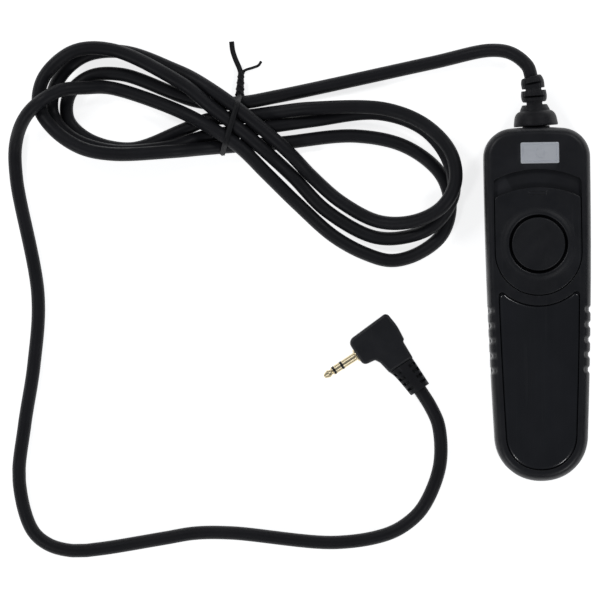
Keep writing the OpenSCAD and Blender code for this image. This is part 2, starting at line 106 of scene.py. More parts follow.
# ------------------------------------------------------------------ outlines, in millimetres


def fade(value, start, end):
    """A smooth rise from 0 at start to 1 at end."""
    t = np.clip((value - start) / (end - start), 0, 1)
    return t * t * (3 - 2 * t)


def arc(centre, r, start, end, step=0.3):
    """Points along an arc, its angles in degrees."""
    a, b = math.radians(start), math.radians(end)
    n = max(2, math.ceil(abs(b - a) * r / step))
    t = np.linspace(a, b, n + 1)
    return np.stack([centre[0] + r * np.cos(t), centre[1] + r * np.sin(t)], axis=1)


def line(start, end, step=0.6):
    """Points along a straight line."""
    n = max(1, math.ceil(math.dist(start, end) / step))
    t = np.linspace(0, 1, n + 1)[:, None]
    return np.array(start) * (1 - t) + np.array(end) * t


def loop_of(*parts):
    """One closed loop from stretches that meet, without doubled points."""
    points = np.concatenate(parts)
    keep = np.linalg.norm(points - np.roll(points, 1, axis=0), axis=1) > 1e-4
    return points[keep]


def normals(loop):
    """Outward directions of a loop that runs counter-clockwise."""
    edge = np.roll(loop, -1, axis=0) - loop
    edge /= np.linalg.norm(edge, axis=1)[:, None]
    mean = edge + np.roll(edge, 1, axis=0)
    mean /= np.linalg.norm(mean, axis=1)[:, None]
    return np.stack([mean[:, 1], -mean[:, 0]], axis=1)


def inset(loop, distance):
    """A loop moved inwards by a distance."""
    return loop - normals(loop) * distance


def at_height(loop, z):
    """A flat loop as points in space. z is a number or a function of the points."""
    height = z(loop) if callable(z) else np.full(len(loop), float(z))
    return np.column_stack([loop, height])


def rod(r, start, end):
    """Profile of a plain solid cylinder, to be turned."""
    return [(0, start), (r, start), (r, end), (0, end)]


def rounded_box(centre, size, r, step=0.2):
    """A rectangle with round corners."""
    x, y = centre
    hx, hy = size[0] / 2 - r, size[1] / 2 - r
    places = [(x + hx, y - hy), (x + hx, y + hy), (x - hx, y + hy), (x - hx, y - hy)]
    corners = [arc(place, r, 270 + 90 * k, 360 + 90 * k, step) for k, place in enumerate(places)]
    sides = [line(a[-1], b[0]) for a, b in zip(corners, corners[1:] + corners[:1])]
    return loop_of(*(part for pair in zip(corners, sides) for part in pair))


def circle(centre, r, n=128):
    """Points round a full circle."""
    t = np.arange(n) * 2 * math.pi / n
    return np.stack([centre[0] + r * np.cos(t), centre[1] + r * np.sin(t)], axis=1)


def round_polygon(corners, shrink=0.0, step=0.2):
    """A counter-clockwise polygon with rounded corners (x, y, radius), its sides moved in.
    The number of points doesn't change with shrink."""
    places = np.array([c[:2] for c in corners], float)
    edge = np.roll(places, -1, axis=0) - places
    length = np.linalg.norm(edge, axis=1)
    edge /= length[:, None]
    before = np.roll(edge, 1, axis=0)
    parts = []
    for k, (_, _, r) in enumerate(corners):
        turn = math.atan2(before[k, 0] * edge[k, 1] - before[k, 1] * edge[k, 0], before[k] @ edge[k])
        side = math.copysign(1, turn)
        inward = np.array([-before[k, 1] - edge[k, 1], before[k, 0] + edge[k, 0]])
        inward /= 1 + before[k] @ edge[k]
        radius = max(r - side * shrink, 0.02)
        centre = places[k] + inward * (shrink + side * radius)
        start = math.atan2(-before[k, 0] * side, before[k, 1] * side)
        angle = start + turn * np.linspace(0, 1, max(3, math.ceil(abs(turn) * r / step)) + 1)
        parts.append(centre + radius * np.stack([np.cos(angle), np.sin(angle)], axis=1))
    joined = []
    for k, part in enumerate(parts):
        after = parts[(k + 1) % len(parts)][0]
        share = np.linspace(0, 1, max(2, math.ceil(length[k] / step / 2)) + 1)[1:-1, None]
        joined += [part, part[-1] * (1 - share) + after * share]
    return np.concatenate(joined)


# ------------------------------------------------------------------ surfaces


SHARP = 38


def inside(points, loop):
    """Which points lie inside a closed loop."""
    a, b = loop, np.roll(loop, -1, axis=0)
    x, y = points[:, 0, None], points[:, 1, None]
    crosses = (a[:, 1] > y) != (b[:, 1] > y)
    rise = np.where(b[:, 1] == a[:, 1], 1, b[:, 1] - a[:, 1])
    left = x < (b[:, 0] - a[:, 0]) * (y - a[:, 1]) / rise + a[:, 0]
    return (crosses & left).sum(axis=1) % 2 == 1


def between(points, outlines):
    """Which points lie inside the first outline and outside the others."""
    keep = inside(points, outlines[0])
    for hole in outlines[1:]:
        keep &= ~inside(points, hole)
    return keep


def grid_between(outlines, step):
    """Grid points between outlines, clear of all of them."""
    low, high = outlines[0].min(axis=0), outlines[0].max(axis=0)
    xs = np.arange(low[0] + step / 2, high[0], step)
    ys = np.arange(low[1] + step / 2, high[1], step)
    points = np.stack(np.meshgrid(xs, ys), axis=-1).reshape(-1, 2)
    keep = between(points, outlines)
    for outline in outlines:
        keep &= np.linalg.norm(points[:, None] - outline[None], axis=2).min(axis=1) > step * 0.45
    return points[keep]


class Shell:
    """A closed surface, gathered as rings of points in millimetres."""

    def __init__(self):
        self.points = []
        self.faces = []

    def ring(self, points):
        """New points, as a list of their numbers."""
        start = len(self.points)
        self.points.extend(tuple(map(float, p)) for p in points)
        return list(range(start, len(self.points)))

    def strip(self, a, b):
        """A wall between two rings of as many points."""
        for i in range(len(a)):
            j = (i + 1) % len(a)
            self.faces.append((a[i], a[j], b[j], b[i]))

    def stack(self, rings, close=False):
        """Walls between rings that follow each other, and from the last to the first."""
        loops = [self.ring(r) for r in rings]
        for a, b in zip(loops, loops[1:]):
            self.strip(a, b)
        if close:
            self.strip(loops[-1], loops[0])
        return loops

    def fill(self, *loops, height=None, grid=None):
        """The area inside the first loop and outside the others. With a grid step, points
        between them take their z from height."""
        index = [i for loop in loops for i in loop]
        edges, start = [], 0
        for loop in loops:
            n = len(loop)
            edges += [(start + k, start + (k + 1) % n) for k in range(n)]
            start += n
        flat = [self.points[i][:2] for i in index]
        outlines = [np.array([self.points[i][:2] for i in loop]) for loop in loops]
        if grid:
            extra = grid_between(outlines, grid)
            flat += [tuple(p) for p in extra]
            index += self.ring(at_height(extra, height))
        found = delaunay_2d_cdt([Vector(p) for p in flat], edges, [], 0, 1e-7)
        places, faces, source = found[0], found[2], found[3]
        where = np.array([p[:] for p in places])
        triangles = np.array([f[:] for f in faces if len(f) == 3])
        for triangle in triangles[between(where[triangles].mean(axis=1), outlines)]:
            self.faces.append(tuple(index[source[v][0]] for v in triangle))

    def lathe(self, profile, place=Matrix.Identity(4), sides=96, close=False):
        """A turned shape about local Z from (radius, z) points, moved by place."""
        turn = np.arange(sides) * 2 * math.pi / sides
        move = np.array(place)
        rings = []
        for r, z in profile:
            local = np.stack([r * np.cos(turn), r * np.sin(turn), np.full(sides, float(z))], axis=1)
            rings.append(local @ move[:3, :3].T + move[:3, 3])
        return self.stack(rings, close)

    def cap(self, loop, centre):
        """A fan of triangles from a loop to one point."""
        middle = self.ring([centre])[0]
        for i in range(len(loop)):
            self.faces.append((loop[i], loop[(i + 1) % len(loop)], middle))

    def mesh(self, name, sharp=SHARP):
        """The gathered surface as a Blender mesh, in metres."""
        data = bpy.data.meshes.new(name)
        made = bmesh.new()
        verts = [made.verts.new(Vector(p) * MM) for p in self.points]
        for face in self.faces:
            made.faces.new([verts[i] for i in face]).smooth = True
        bmesh.ops.remove_doubles(made, verts=made.verts, dist=MM * 0.0008)
        bmesh.ops.recalc_face_normals(made, faces=made.faces)
        made.to_mesh(data)
        made.free()
        data.set_sharp_from_angle(angle=math.radians(sharp))
        return data


def piece(name, mesh, slot, body, *nodes):
    """A finished piece: it rides on its body, and the CAD nodes it takes the place of are hidden."""
    made = bpy.data.objects.new(name, mesh)
    bpy.context.scene.collection.objects.link(made)
    made.data.materials.clear()
    made.data.materials.append(MATERIALS[slot])
    made.modifiers.new("even_normals", "WEIGHTED_NORMAL").keep_sharp = True
    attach(made, body)
    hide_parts(*nodes)
    return made


def carve(mesh, cutters, operation="DIFFERENCE"):
    """A mesh with cutters taken away from it or added to it. If the mesh or a cutter isn't closed,
    Blender only warns and leaves the mesh as it was."""
    target = bpy.data.objects.new("carved", mesh)
    tool = bpy.data.objects.new("cutter", cutters.mesh("cutter"))
    for o in (target, tool):
        bpy.context.scene.collection.objects.link(o)
    step = target.modifiers.new("carve", "BOOLEAN")
    step.operation = operation
    step.solver = "MANIFOLD"
    step.object = tool
    bpy.context.view_layer.update()
    shown = target.evaluated_get(bpy.context.evaluated_depsgraph_get())
    result = bpy.data.meshes.new_from_object(shown)
    result.name = mesh.name
    for o in (target, tool):
        bpy.data.objects.remove(o)
    result.set_sharp_from_angle(angle=math.radians(SHARP))
    return result


# ------------------------------------------------------------------ materials


class Look:
    """A material, its nodes and its surface shader's sockets."""

    def __init__(self, name):
        self.material = bpy.data.materials.new(name)
        self.material.use_nodes = True
        self.nodes = self.material.node_tree.nodes
        self.link = self.material.node_tree.links.new
        self.surface = self.nodes["Principled BSDF"].inputs

    def noise(self, scale, detail=3.0, stretch=(1, 1, 1)):
        """Noise over the object's own coordinates, in 1/m."""
        place = self.nodes.new("ShaderNodeTexCoord")
        mapping = self.nodes.new("ShaderNodeMapping")
        mapping.inputs["Scale"].default_value = stretch
        texture = self.nodes.new("ShaderNodeTexNoise")
        texture.inputs["Scale"].default_value = scale
        texture.inputs["Detail"].default_value = detail
        self.link(place.outputs["Object"], mapping.inputs["Vector"])
        self.link(mapping.outputs["Vector"], texture.inputs["Vector"])
        return texture.outputs["Fac"]

    def remap(self, value, low, high, to_low, to_high):
        """A value's range from low to high moved to another range."""
        made = self.nodes.new("ShaderNodeMapRange")
        made.inputs["From Min"].default_value = low
        made.inputs["From Max"].default_value = high
        made.inputs["To Min"].default_value = to_low
        made.inputs["To Max"].default_value = to_high
        self.link(value, made.inputs["Value"])
        return made.outputs["Result"]

    def mix(self, factor, a, b):
        """A colour from a to b. a is a colour or another node's output."""
        made = self.nodes.new("ShaderNodeMix")
        made.data_type = "RGBA"
        if isinstance(a, tuple):
            made.inputs["A"].default_value = (*a, 1)
        else:
            self.link(a, made.inputs["A"])
        made.inputs["B"].default_value = (*b, 1)
        self.link(factor, made.inputs["Factor"])
        return made.outputs["Result"]

    def bump(self, height, distance, strength=1.0, under=None):
        """Surface directions with a height, over those of the bump under it."""
        made = self.nodes.new("ShaderNodeBump")
        made.inputs["Strength"].default_value = strength
        made.inputs["Distance"].default_value = distance
        self.link(height, made.inputs["Height"])
        if under:
            self.link(under, made.inputs["Normal"])
        return made.outputs["Normal"]


CLOUDS = 90
SMEARS = 260
SCUFFS = 700
SCUFF_DEPTH = 0.000004
SCUFF_ROUGHNESS = 0.08
BRUSH_DEPTH = 0.000006


def moulded(name, colour, rough, grain=0.00002, grain_scale=4200, wear=0.5, ior=1.45, coat=0.0,
            stretch=(1, 1, 1)):
    """Moulded plastic or rubber: cloudy colour, uneven gloss, fine grain, paler worn edges."""
    look = Look(name)
    clouds = look.remap(look.noise(CLOUDS, 4), 0.3, 0.7, 0, 1)
    base = look.mix(clouds, tuple(c * 0.82 for c in colour), tuple(c * 1.22 for c in colour))
    edges = look.nodes.new("ShaderNodeNewGeometry").outputs["Pointiness"]
    worn = look.mix(look.remap(edges, 0.52, 0.62, 0, wear), base, tuple(c * 1.9 + 0.01 for c in colour))
    look.link(worn, look.surface["Base Color"])
    scuffs = look.remap(look.noise(SCUFFS, 2, (1, 0.04, 1)), 0.66, 0.7, 0, 1)
    duller = look.nodes.new("ShaderNodeMath")
    duller.operation = "MULTIPLY_ADD"
    duller.inputs[1].default_value = SCUFF_ROUGHNESS
    look.link(scuffs, duller.inputs[0])
    smears = look.noise(SMEARS, 5, stretch)
    look.link(look.remap(smears, 0.3, 0.75, rough - 0.06, rough + 0.07), duller.inputs[2])
    look.link(duller.outputs["Value"], look.surface["Roughness"])
    scored = look.bump(scuffs, SCUFF_DEPTH, 0.5)
    fine = look.noise(grain_scale, 2, stretch)
    look.link(look.bump(fine, grain, under=scored), look.surface["Normal"])
    look.surface["IOR"].default_value = ior
    if coat:
        look.surface["Coat Weight"].default_value = coat
        look.surface["Coat Roughness"].default_value = 0.08
    return look.material


def metal(name, colour, rough, stretch=(1, 1, 1), brush_scale=2600, metallic=1.0):
    """Metal with fine brush marks and uneven gloss."""
    look = Look(name)
    marks = look.noise(brush_scale, 3, stretch)
    tint = look.mix(look.noise(300, 4), tuple(c * 0.86 for c in colour), colour)
    look.link(tint, look.surface["Base Color"])
    look.link(look.remap(marks, 0.25, 0.75, rough - 0.06, rough + 0.1), look.surface["Roughness"])
    look.link(look.bump(marks, BRUSH_DEPTH, 0.6), look.surface["Normal"])
    look.surface["Metallic"].default_value = metallic
    return look.material


def laminate(name):
    """Green solder mask over a woven board."""
    look = Look(name)
    weave = look.noise(1500, 2)
    look.link(look.mix(weave, (0.02, 0.12, 0.05), (0.05, 0.22, 0.09)), look.surface["Base Color"])
    look.link(look.remap(weave, 0.3, 0.7, 0.22, 0.34), look.surface["Roughness"])
    look.link(look.bump(weave, 0.00001, 0.5), look.surface["Normal"])
    return look.material


# Colour, roughness and, where it isn't the usual, grain, grain scale, wear, ior, coat and stretch
PLASTICS = {
    "cover_plastic": ((0.0112, 0.0114, 0.0142), 0.42),
    "slider_plastic": ((0.0112, 0.0115, 0.0142), 0.40),
    "grip_plastic": ((0.0121, 0.0123, 0.0148), 0.26, 0.000006, 1500, 0.2, 1.45, 0.5, (1, 0.02, 1)),
    "button_plastic": ((0.0105, 0.0108, 0.0132), 0.44),
    "cord_jacket": ((0.0125, 0.0125, 0.0150), 0.5, 0.00002, 2600, 0.2, 1.3),
    "boot_rubber": ((0.0110, 0.0110, 0.0135), 0.52, 0.00004, 3000, 0.6, 1.35),
    "plug_plastic": ((0.0125, 0.0130, 0.0158), 0.45, 0.00003, 3200, 0.6),
    "tie_plastic": ((0.0090, 0.0090, 0.0106), 0.56, 0.00002, 3000, 0.3, 1.35),
    "plug_insulator": ((0.008, 0.008, 0.009), 0.3),
    "natural_plastic": ((0.72, 0.70, 0.63), 0.4),
    "clamp_plastic": ((0.03, 0.03, 0.033), 0.5),
    "wire_red": ((0.45, 0.03, 0.02), 0.35),
    "wire_white": ((0.75, 0.74, 0.70), 0.35),
    "wire_brown": ((0.25, 0.11, 0.04), 0.35),
}
# Colour, roughness and, where it isn't the usual, stretch, brush scale and metallic share
METALS = {
    "badge_metal": ((0.86, 0.88, 0.93), 0.5, (0.05, 1, 1), 2600, 0.45),
    "steel": ((0.60, 0.61, 0.63), 0.30),
    "contact_metal": ((0.80, 0.62, 0.30), 0.25),
    "solder": ((0.70, 0.71, 0.72), 0.2, (1, 1, 1), 900),
    "plug_gold": ((0.93, 0.80, 0.54), 0.34),
}
MATERIALS = {name: moulded(name, *values) for name, values in PLASTICS.items()}
MATERIALS |= {name: metal(name, *values) for name, values in METALS.items()}
MATERIALS["board_laminate"] = laminate("board_laminate")

# ------------------------------------------------------------------ the cord

CORD_D = 0.004
CORD_R = CORD_D / MM / 2
CORD_SIDES = 20
CORD_STEP = 0.9

# The route of the CAD cord, in metres, from the strain relief to the plug
ROUTE = [
    # out of the strain relief and across to the tie
    (-0.00084, 0.06715, 0.009), (-0.00095, 0.0681, 0.009), (-0.0022, 0.0699, 0.0088),
    (-0.0067, 0.0737, 0.0074), (-0.013, 0.0748, 0.0052), (-0.03, 0.0715, 0.0022),
    (-0.0755, 0.0624, 0.002), (-0.087, 0.0606, 0.003),
    # inner left loop
    (-0.099, 0.0612, 0.0022), (-0.1215, 0.07, 0.002), (-0.131, 0.0695, 0.002),
    (-0.137, 0.064, 0.002), (-0.1375, 0.0565, 0.002), (-0.1315, 0.0505, 0.002),
    (-0.119, 0.0476, 0.002), (-0.104, 0.0528, 0.002), (-0.0965, 0.0558, 0.0022),
    (-0.087, 0.0564, 0.003),
    # top right loop
    (-0.0765, 0.0576, 0.0034), (-0.066, 0.0586, 0.0056), (-0.044, 0.058, 0.0066),
    (-0.032, 0.0528, 0.008), (-0.025, 0.0445, 0.0098), (-0.024, 0.036, 0.0105),
    (-0.028, 0.029, 0.01), (-0.036, 0.025, 0.0072), (-0.0465, 0.025, 0.0036),
    (-0.0574, 0.0308, 0.0024), (-0.066, 0.0385, 0.0032), (-0.073, 0.046, 0.0066),
    (-0.087, 0.0584, 0.0074),
    # middle left loop
    (-0.095, 0.0644, 0.006), (-0.105, 0.0706, 0.0024), (-0.121, 0.077, 0.002),
    (-0.1325, 0.0758, 0.0022), (-0.1404, 0.0682, 0.0024), (-0.1421, 0.0586, 0.0034),
    (-0.1366, 0.0512, 0.0064), (-0.1245, 0.047, 0.0064), (-0.107, 0.048, 0.0054),
    (-0.0975, 0.0508, 0.0028), (-0.087, 0.0522, 0.003),
    # middle right loop
    (-0.066, 0.055, 0.002), (-0.046, 0.0568, 0.002), (-0.033, 0.052, 0.0034),
    (-0.026, 0.043, 0.0054), (-0.0245, 0.033, 0.0064), (-0.03, 0.024, 0.0054),
    (-0.038, 0.0205, 0.0028), (-0.048, 0.0205, 0.002), (-0.062, 0.0285, 0.002),
    (-0.0715, 0.0385, 0.003), (-0.0792, 0.0458, 0.0066), (-0.087, 0.0528, 0.0074),
    # outer left loop
    (-0.0955, 0.0596, 0.0072), (-0.104, 0.0668, 0.0069), (-0.124, 0.0775, 0.0064),
    (-0.1355, 0.0773, 0.0063), (-0.1443, 0.0694, 0.0062), (-0.1459, 0.0605, 0.0066),
    (-0.1415, 0.0534, 0.0094), (-0.1337, 0.048, 0.0107), (-0.1245, 0.046, 0.0108),
    (-0.107, 0.0465, 0.0097), (-0.097, 0.0473, 0.0052), (-0.087, 0.048, 0.003),
    # bottom right loop
    (-0.075, 0.0486, 0.0022), (-0.053, 0.0503, 0.002), (-0.038, 0.0468, 0.002),
    (-0.028, 0.0385, 0.002), (-0.0255, 0.0295, 0.002), (-0.028, 0.021, 0.002),
    (-0.035, 0.0155, 0.002), (-0.043, 0.0135, 0.002), (-0.051, 0.0158, 0.002),
    (-0.06, 0.021, 0.002), (-0.07, 0.0302, 0.0024), (-0.0795, 0.0398, 0.0056),
    (-0.087, 0.0474, 0.0076),
    # over the left loops and down to the plug
    (-0.096, 0.0536, 0.0074), (-0.105, 0.0585, 0.0044), (-0.1245, 0.0658, 0.003),
    (-0.1315, 0.066, 0.0066), (-0.1395, 0.0652, 0.0102), (-0.145, 0.0622, 0.0113),
    (-0.15, 0.0572, 0.0086), (-0.153, 0.0495, 0.003), (-0.153, 0.0395, 0.002),
    (-0.1472, 0.005, 0.002), (-0.1487, -0.0153, 0.002), (-0.1518, -0.0335, 0.002),
    (-0.1536, -0.0495, 0.002), (-0.1501, -0.0639, 0.002), (-0.1453, -0.0684, 0.002),
    (-0.138, -0.0704, 0.002), (-0.1305, -0.07, 0.002), (-0.1115, -0.0672, 0.002),
    (-0.102, -0.0658, 0.002), (-0.0915, -0.0659, 0.002), (-0.061, -0.0692, 0.002),
    (-0.046, -0.0671, 0.002), (-0.0395, -0.0638, 0.002), (-0.0346, -0.0588, 0.002),
    (-0.0298, -0.0471, 0.002), (-0.0299, -0.0355, 0.0026), (-0.0321, -0.0299, 0.0032),
    (-0.0353, -0.0246, 0.0038),
]


def smooth_line(points, step):
    """A centripetal Catmull-Rom curve through points, cut about every step."""
    p = np.array(points, float)
    p = np.vstack([2 * p[0] - p[1], p, 2 * p[-1] - p[-2]])
    found = []
    for a, b, c, d in zip(p, p[1:], p[2:], p[3:]):
        t1 = math.sqrt(np.linalg.norm(b - a))
        t2 = t1 + math.sqrt(np.linalg.norm(c - b))
        t3 = t2 + math.sqrt(np.linalg.norm(d - c))
        n = max(2, math.ceil(np.linalg.norm(c - b) / step))
        t = np.linspace(t1, t2, n + 1)[:-1, None]
        ab = (t1 - t) / t1 * a + t / t1 * b
        bc = (t2 - t) / (t2 - t1) * b + (t - t1) / (t2 - t1) * c
        cd = (t3 - t) / (t3 - t2) * c + (t - t2) / (t3 - t2) * d
        left = (t2 - t) / t2 * ab + t / t2 * bc
        right = (t3 - t) / (t3 - t1) * bc + (t - t1) / (t3 - t1) * cd
        found.append((t2 - t) / (t2 - t1) * left + (t - t1) / (t2 - t1) * right)
    return np.vstack([*found, p[-2:-1]])


def frames(path, up=(0, 0, 1)):
    """Directions across a path that turn with it as little as they can."""
    heading = np.gradient(path, axis=0)
    heading /= np.linalg.norm(heading, axis=1)[:, None]
    across = np.cross(up, heading[0])
    sides = []
    for h in heading:
        across = across - h * (across @ h)
        across /= np.linalg.norm(across)
        sides.append(across)
    sides = np.array(sides)
    return sides, np.cross(heading, sides)


def tube(path, r, sides):
    """A round tube with closed ends along a path."""
    shell = Shell()
    across, upward = frames(path)
    turn = np.arange(sides) * 2 * math.pi / sides
    rings = []
    for p, a, u in zip(path, across, upward):
        rings.append(p + r * (np.cos(turn)[:, None] * a + np.sin(turn)[:, None] * u))
    loops = shell.stack(rings)
    shell.cap(loops[0], path[0])
    shell.cap(loops[-1], path[-1])
    return shell


# The left loops are drawn in from here to there along X, and past here along Y
LOOP_X = (-95.0, -110.0)
LOOP_FOOT = 60.0


def kept_in(path, r):
    """The path of a tube of radius r, kept above the floor and inside the CAD model's box.
    The far ends of the left loops are drawn in as a whole, so that they stay round."""
    low, high = (np.array(v) / MM for v in cad_bounds)
    furthest = path[:, 1].max()
    share = np.clip((path[:, 1] - LOOP_FOOT) / (furthest - LOOP_FOOT), 0, 1) * fade(path[:, 0], *LOOP_X)
    path[:, 1] -= share * max(furthest - high[1] + r, 0)
    return np.clip(path, low + r, high - r + (0, 0, r))


RELIEF_TILT = math.radians(3)
RELIEF_LEN = 15.0
RELIEF_BEND_FROM = 10.5
RELIEF_BEND = math.radians(2.6)
HANDLE_END = node_box("bottom_cover")[1][1]
CORD_Z = ROUTE[0][2] / MM
ALONG_HANDLE = Matrix.Translation((0, 0, CORD_Z)) @ Matrix.Rotation(math.radians(-90), 4, "X")
relief_axis = np.array([-math.sin(RELIEF_TILT), math.cos(RELIEF_TILT), 0])
relief_start = np.array([0, HANDLE_END, CORD_Z])


def relief_at(along):
    """Middle of the strain relief and its direction, which bends towards the cord near its end."""
    bent = max(along - RELIEF_BEND_FROM, 0)
    aside = np.array([-relief_axis[1], relief_axis[0], 0])
    middle = relief_start + relief_axis * along + aside * RELIEF_BEND * bent ** 2 / 2
    heading = relief_axis + aside * RELIEF_BEND * bent
    return middle, heading / np.linalg.norm(heading)


cord_exit = relief_at(RELIEF_LEN)[0]

PLUG_AT = np.array([-45.2, -8.9, 3.8])
PLUG_TURN = math.radians(212.3)
plug_y = np.array([-math.sin(PLUG_TURN), math.cos(PLUG_TURN), 0])
CORD_IN_BOOT = 14.0
CORD_IN_RELIEF = 12.0


def make_cord():
    """The cord, the path of its centre line and its length in metres."""
    inner = relief_at(CORD_IN_RELIEF)[0]
    boot = PLUG_AT + plug_y * CORD_IN_BOOT
    points = [inner, cord_exit, *(np.array(ROUTE[2:]) / MM), boot]
    path = kept_in(smooth_line(points, CORD_STEP), CORD_R)
    mesh = tube(path, CORD_R, CORD_SIDES).mesh("soft_cord")
    length = np.linalg.norm(np.diff(path, axis=0), axis=1).sum() * MM
    return piece("soft_cord", mesh, "cord_jacket", "handle", "cord"), path, length


cord, cord_path, cord_length = make_cord()

# ------------------------------------------------------------------ handle

HALF_W, HALF_LEN = node_box("bottom_cover")[1][:2]
PARTING_Z, TOP_Z = node_box("top_cover")[0][2], node_box("top_cover")[1][2]
WALL = 2.0
FLOOR_Z = 2.0
RECESS_Z = TOP_Z - 1.7
WEB_Z = RECESS_Z - 1.4
PANEL_FLOOR_Z = TOP_Z - 1.0
BADGE_FLOOR_Z = TOP_Z - 0.3
CORNER_R = 8.5
CROWN_DROP = 0.3
TAPER = 0.00029
TAIL_LEN = 14.0
TAIL_POWER = 2.1
corner_y = HALF_LEN - CORNER_R - CROWN_DROP
corner_x = HALF_W - CORNER_R
CROWN_R = (corner_x ** 2 + (HALF_LEN - corner_y) ** 2 - CORNER_R ** 2) / 2 / CROWN_DROP
CROWN_END = math.degrees(math.atan2(CROWN_R + corner_y - HALF_LEN, corner_x))
tail_r = HALF_W - TAPER * (2 * HALF_LEN - TAIL_LEN - CORNER_R) ** 2
tail_y = -HALF_LEN + tail_r

GROOVES = 5
GROOVE_START = -1.8
GROOVE_PITCH = 4.4
GROOVE_DEPTH = 0.68
GROOVE_HALF = 1.3
GROOVED_Y = (-22.0, 0.5)
EDGE_IN = 2.25
EDGE_UP = 3.2
SEAM = 0.12
SEAM_EASE = 0.2
BUTTON = (0.0, 17.6)
ARC_Y = 15.3


def even_loop(loop, step, weight=lambda points: 1.0):
    """The loop again with points about step apart, and closer where their weight is more."""
    closed = np.vstack([loop, loop[:1]])
    length = np.linalg.norm(np.diff(closed, axis=0), axis=1) * weight(closed[1:])
    along = np.concatenate([[0], np.cumsum(length)])
    at = np.linspace(0, along[-1], math.ceil(along[-1] / step) + 1)[:-1]
    return np.stack([np.interp(at, along, closed[:, k]) for k in (0, 1)], axis=1)


def softened(loop, window):
    """A closed loop averaged over a window of points."""
    half = window // 2
    wrapped = np.vstack([loop[-half:], loop, loop[:half]])
    kernel = np.ones(2 * half + 1) / (2 * half + 1)
    return np.stack([np.convolve(wrapped[:, k], kernel, "valid") for k in (0, 1)], axis=1)


def handle_outline():
    """The handle seen from above, with closer points along the grip grooves."""
    y = np.linspace(tail_y, corner_y, 200)
    side = np.stack([HALF_W - TAPER * (corner_y - y) ** 2, y], axis=1)
    a = np.linspace(math.pi / 2, 0, 120)
    tail = np.stack([
        tail_r * np.cos(a) ** (2 / TAIL_POWER),
        tail_y - tail_r * np.sin(a) ** (2 / TAIL_POWER),
    ], axis=1)
    corner = arc((corner_x, corner_y), CORNER_R, 0, CROWN_END, 0.05)
    crown = arc((0, HALF_LEN - CROWN_R), CROWN_R, CROWN_END, 90, 0.05)
    right = np.vstack([tail, side, corner, crown])
    loop = softened(even_loop(loop_of(right, right[::-1] * (-1, 1)), 0.05), 31)
    low, high = GROOVED_Y
    return even_loop(loop, 1, lambda p: np.where((p[:, 1] < high) & (p[:, 1] > low), 6.0, 1.7))


OUTLINE = handle_outline()


def crowned(top, drop=0.2, half=12.8):
    """Height of a gently crowned face at the points of a loop."""
    return lambda points: top - drop * (points[:, 0] / half) ** 2


def groove_depth(y):
    """Depth of the grip grooves at places along the handle."""
    depth = np.zeros(len(y))
    for i in range(GROOVES):
        u = np.clip(np.abs(y - GROOVE_START + GROOVE_PITCH * i) / GROOVE_HALF, 0, 1)
        depth += GROOVE_DEPTH * (1 - u * u * (3 - 2 * u))
    return depth


def side_ring(distance, z, lean=0.0):
    """Ring of the handle's outside, where the surface leans inwards by an angle."""
    outward = normals(OUTLINE)
    strength = (1 - fade(lean, math.radians(60), math.radians(88))) * fade(z, 2.2, 3.4)
    cut = groove_depth(OUTLINE[:, 1]) * strength * (np.abs(OUTLINE[:, 0]) > 5)
    flat = OUTLINE - outward * (distance + cut * math.cos(lean))[:, None]
    return np.column_stack([flat, z - cut * math.sin(lean)])


def top_ring(distance, z, lean):
    """The same on the crowned top, which is a little lower at its sides."""
    ring = side_ring(distance, z, lean)
    share = fade(z, TOP_Z - EDGE_UP, TOP_Z)
    ring[:, 2] -= share * (TOP_Z - crowned(TOP_Z)(ring[:, :2]))
    return ring


def quarter(steps):
    """Angles that share out a quarter turn, without its start."""
    return [math.pi / 2 * k / steps for k in range(1, steps + 1)]


def seam_rings(z, way):
    """Rings of a cover's eased edge at the parting line, from the line up or down."""
    return [side_ring(SEAM, z), side_ring(SEAM / 4, z + way * SEAM / 2), side_ring(0, z + way * SEAM_EASE)]


def recess_outline(half_w, top_y, corner=1.4, arch_r=29.0):
    """Recess and slider seen from above: a round foot, straight sides and an arched top."""
    centre_y = top_y - arch_r
    corner_at = centre_y + math.sqrt((arch_r - corner) ** 2 - (half_w - corner) ** 2)
    turn = math.degrees(math.atan2(corner_at - centre_y, half_w - corner))
    return loop_of(
        arc((0, ARC_Y), half_w, 180, 360, 0.35),
        line((half_w, ARC_Y), (half_w, corner_at)),
        arc((half_w - corner, corner_at), corner, 0, turn, 0.15),
        arc((0, centre_y), arch_r, turn, 180 - turn, 0.5),
        arc((corner - half_w, corner_at), corner, 180 - turn, 180, 0.15),
        line((-half_w, corner_at), (-half_w, ARC_Y)),
    )


def panel_outline(distance, arc_r, corner=1.0):
    """The grip panel seen from above: the handle's outline with a hollow round top."""
    sides = inset(OUTLINE, distance)
    right = sides[(sides[:, 0] >= 0) & (sides[:, 1] < 6) & (sides[:, 1] > -20)]
    right = right[np.argsort(right[:, 1])]
    clear = arc_r + corner - np.hypot(right[:, 0] - corner, right[:, 1] - ARC_Y)
    x, y = np.interp(0, clear, right[:, 0]) - corner, np.interp(0, clear, right[:, 1])
    toward = math.degrees(math.atan2(ARC_Y - y, -x))
    below = sides[:, 1] < y
    first = np.nonzero(below & ~np.roll(below, 1))[0][0]
    return loop_of(
        np.roll(sides, -first, axis=0)[:below.sum()],
        arc((x, y), corner, 0, toward, 0.15),
        arc((0, ARC_Y), arc_r, toward - 180, -toward, 0.5),
        arc((-x, y), corner, 180 - toward, 180, 0.15),
    )


def rim(loop, top, edge_in, edge_up, steps):
    """Rings of a rounded upper edge, from its foot to the flat part."""
    rings = []
    for a in [0, *quarter(steps)]:
        rings.append(at_height(inset(loop, edge_in * (1 - math.cos(a))),
                               lambda p, a=a: top(p) - edge_up * (1 - math.sin(a))))
    return rings


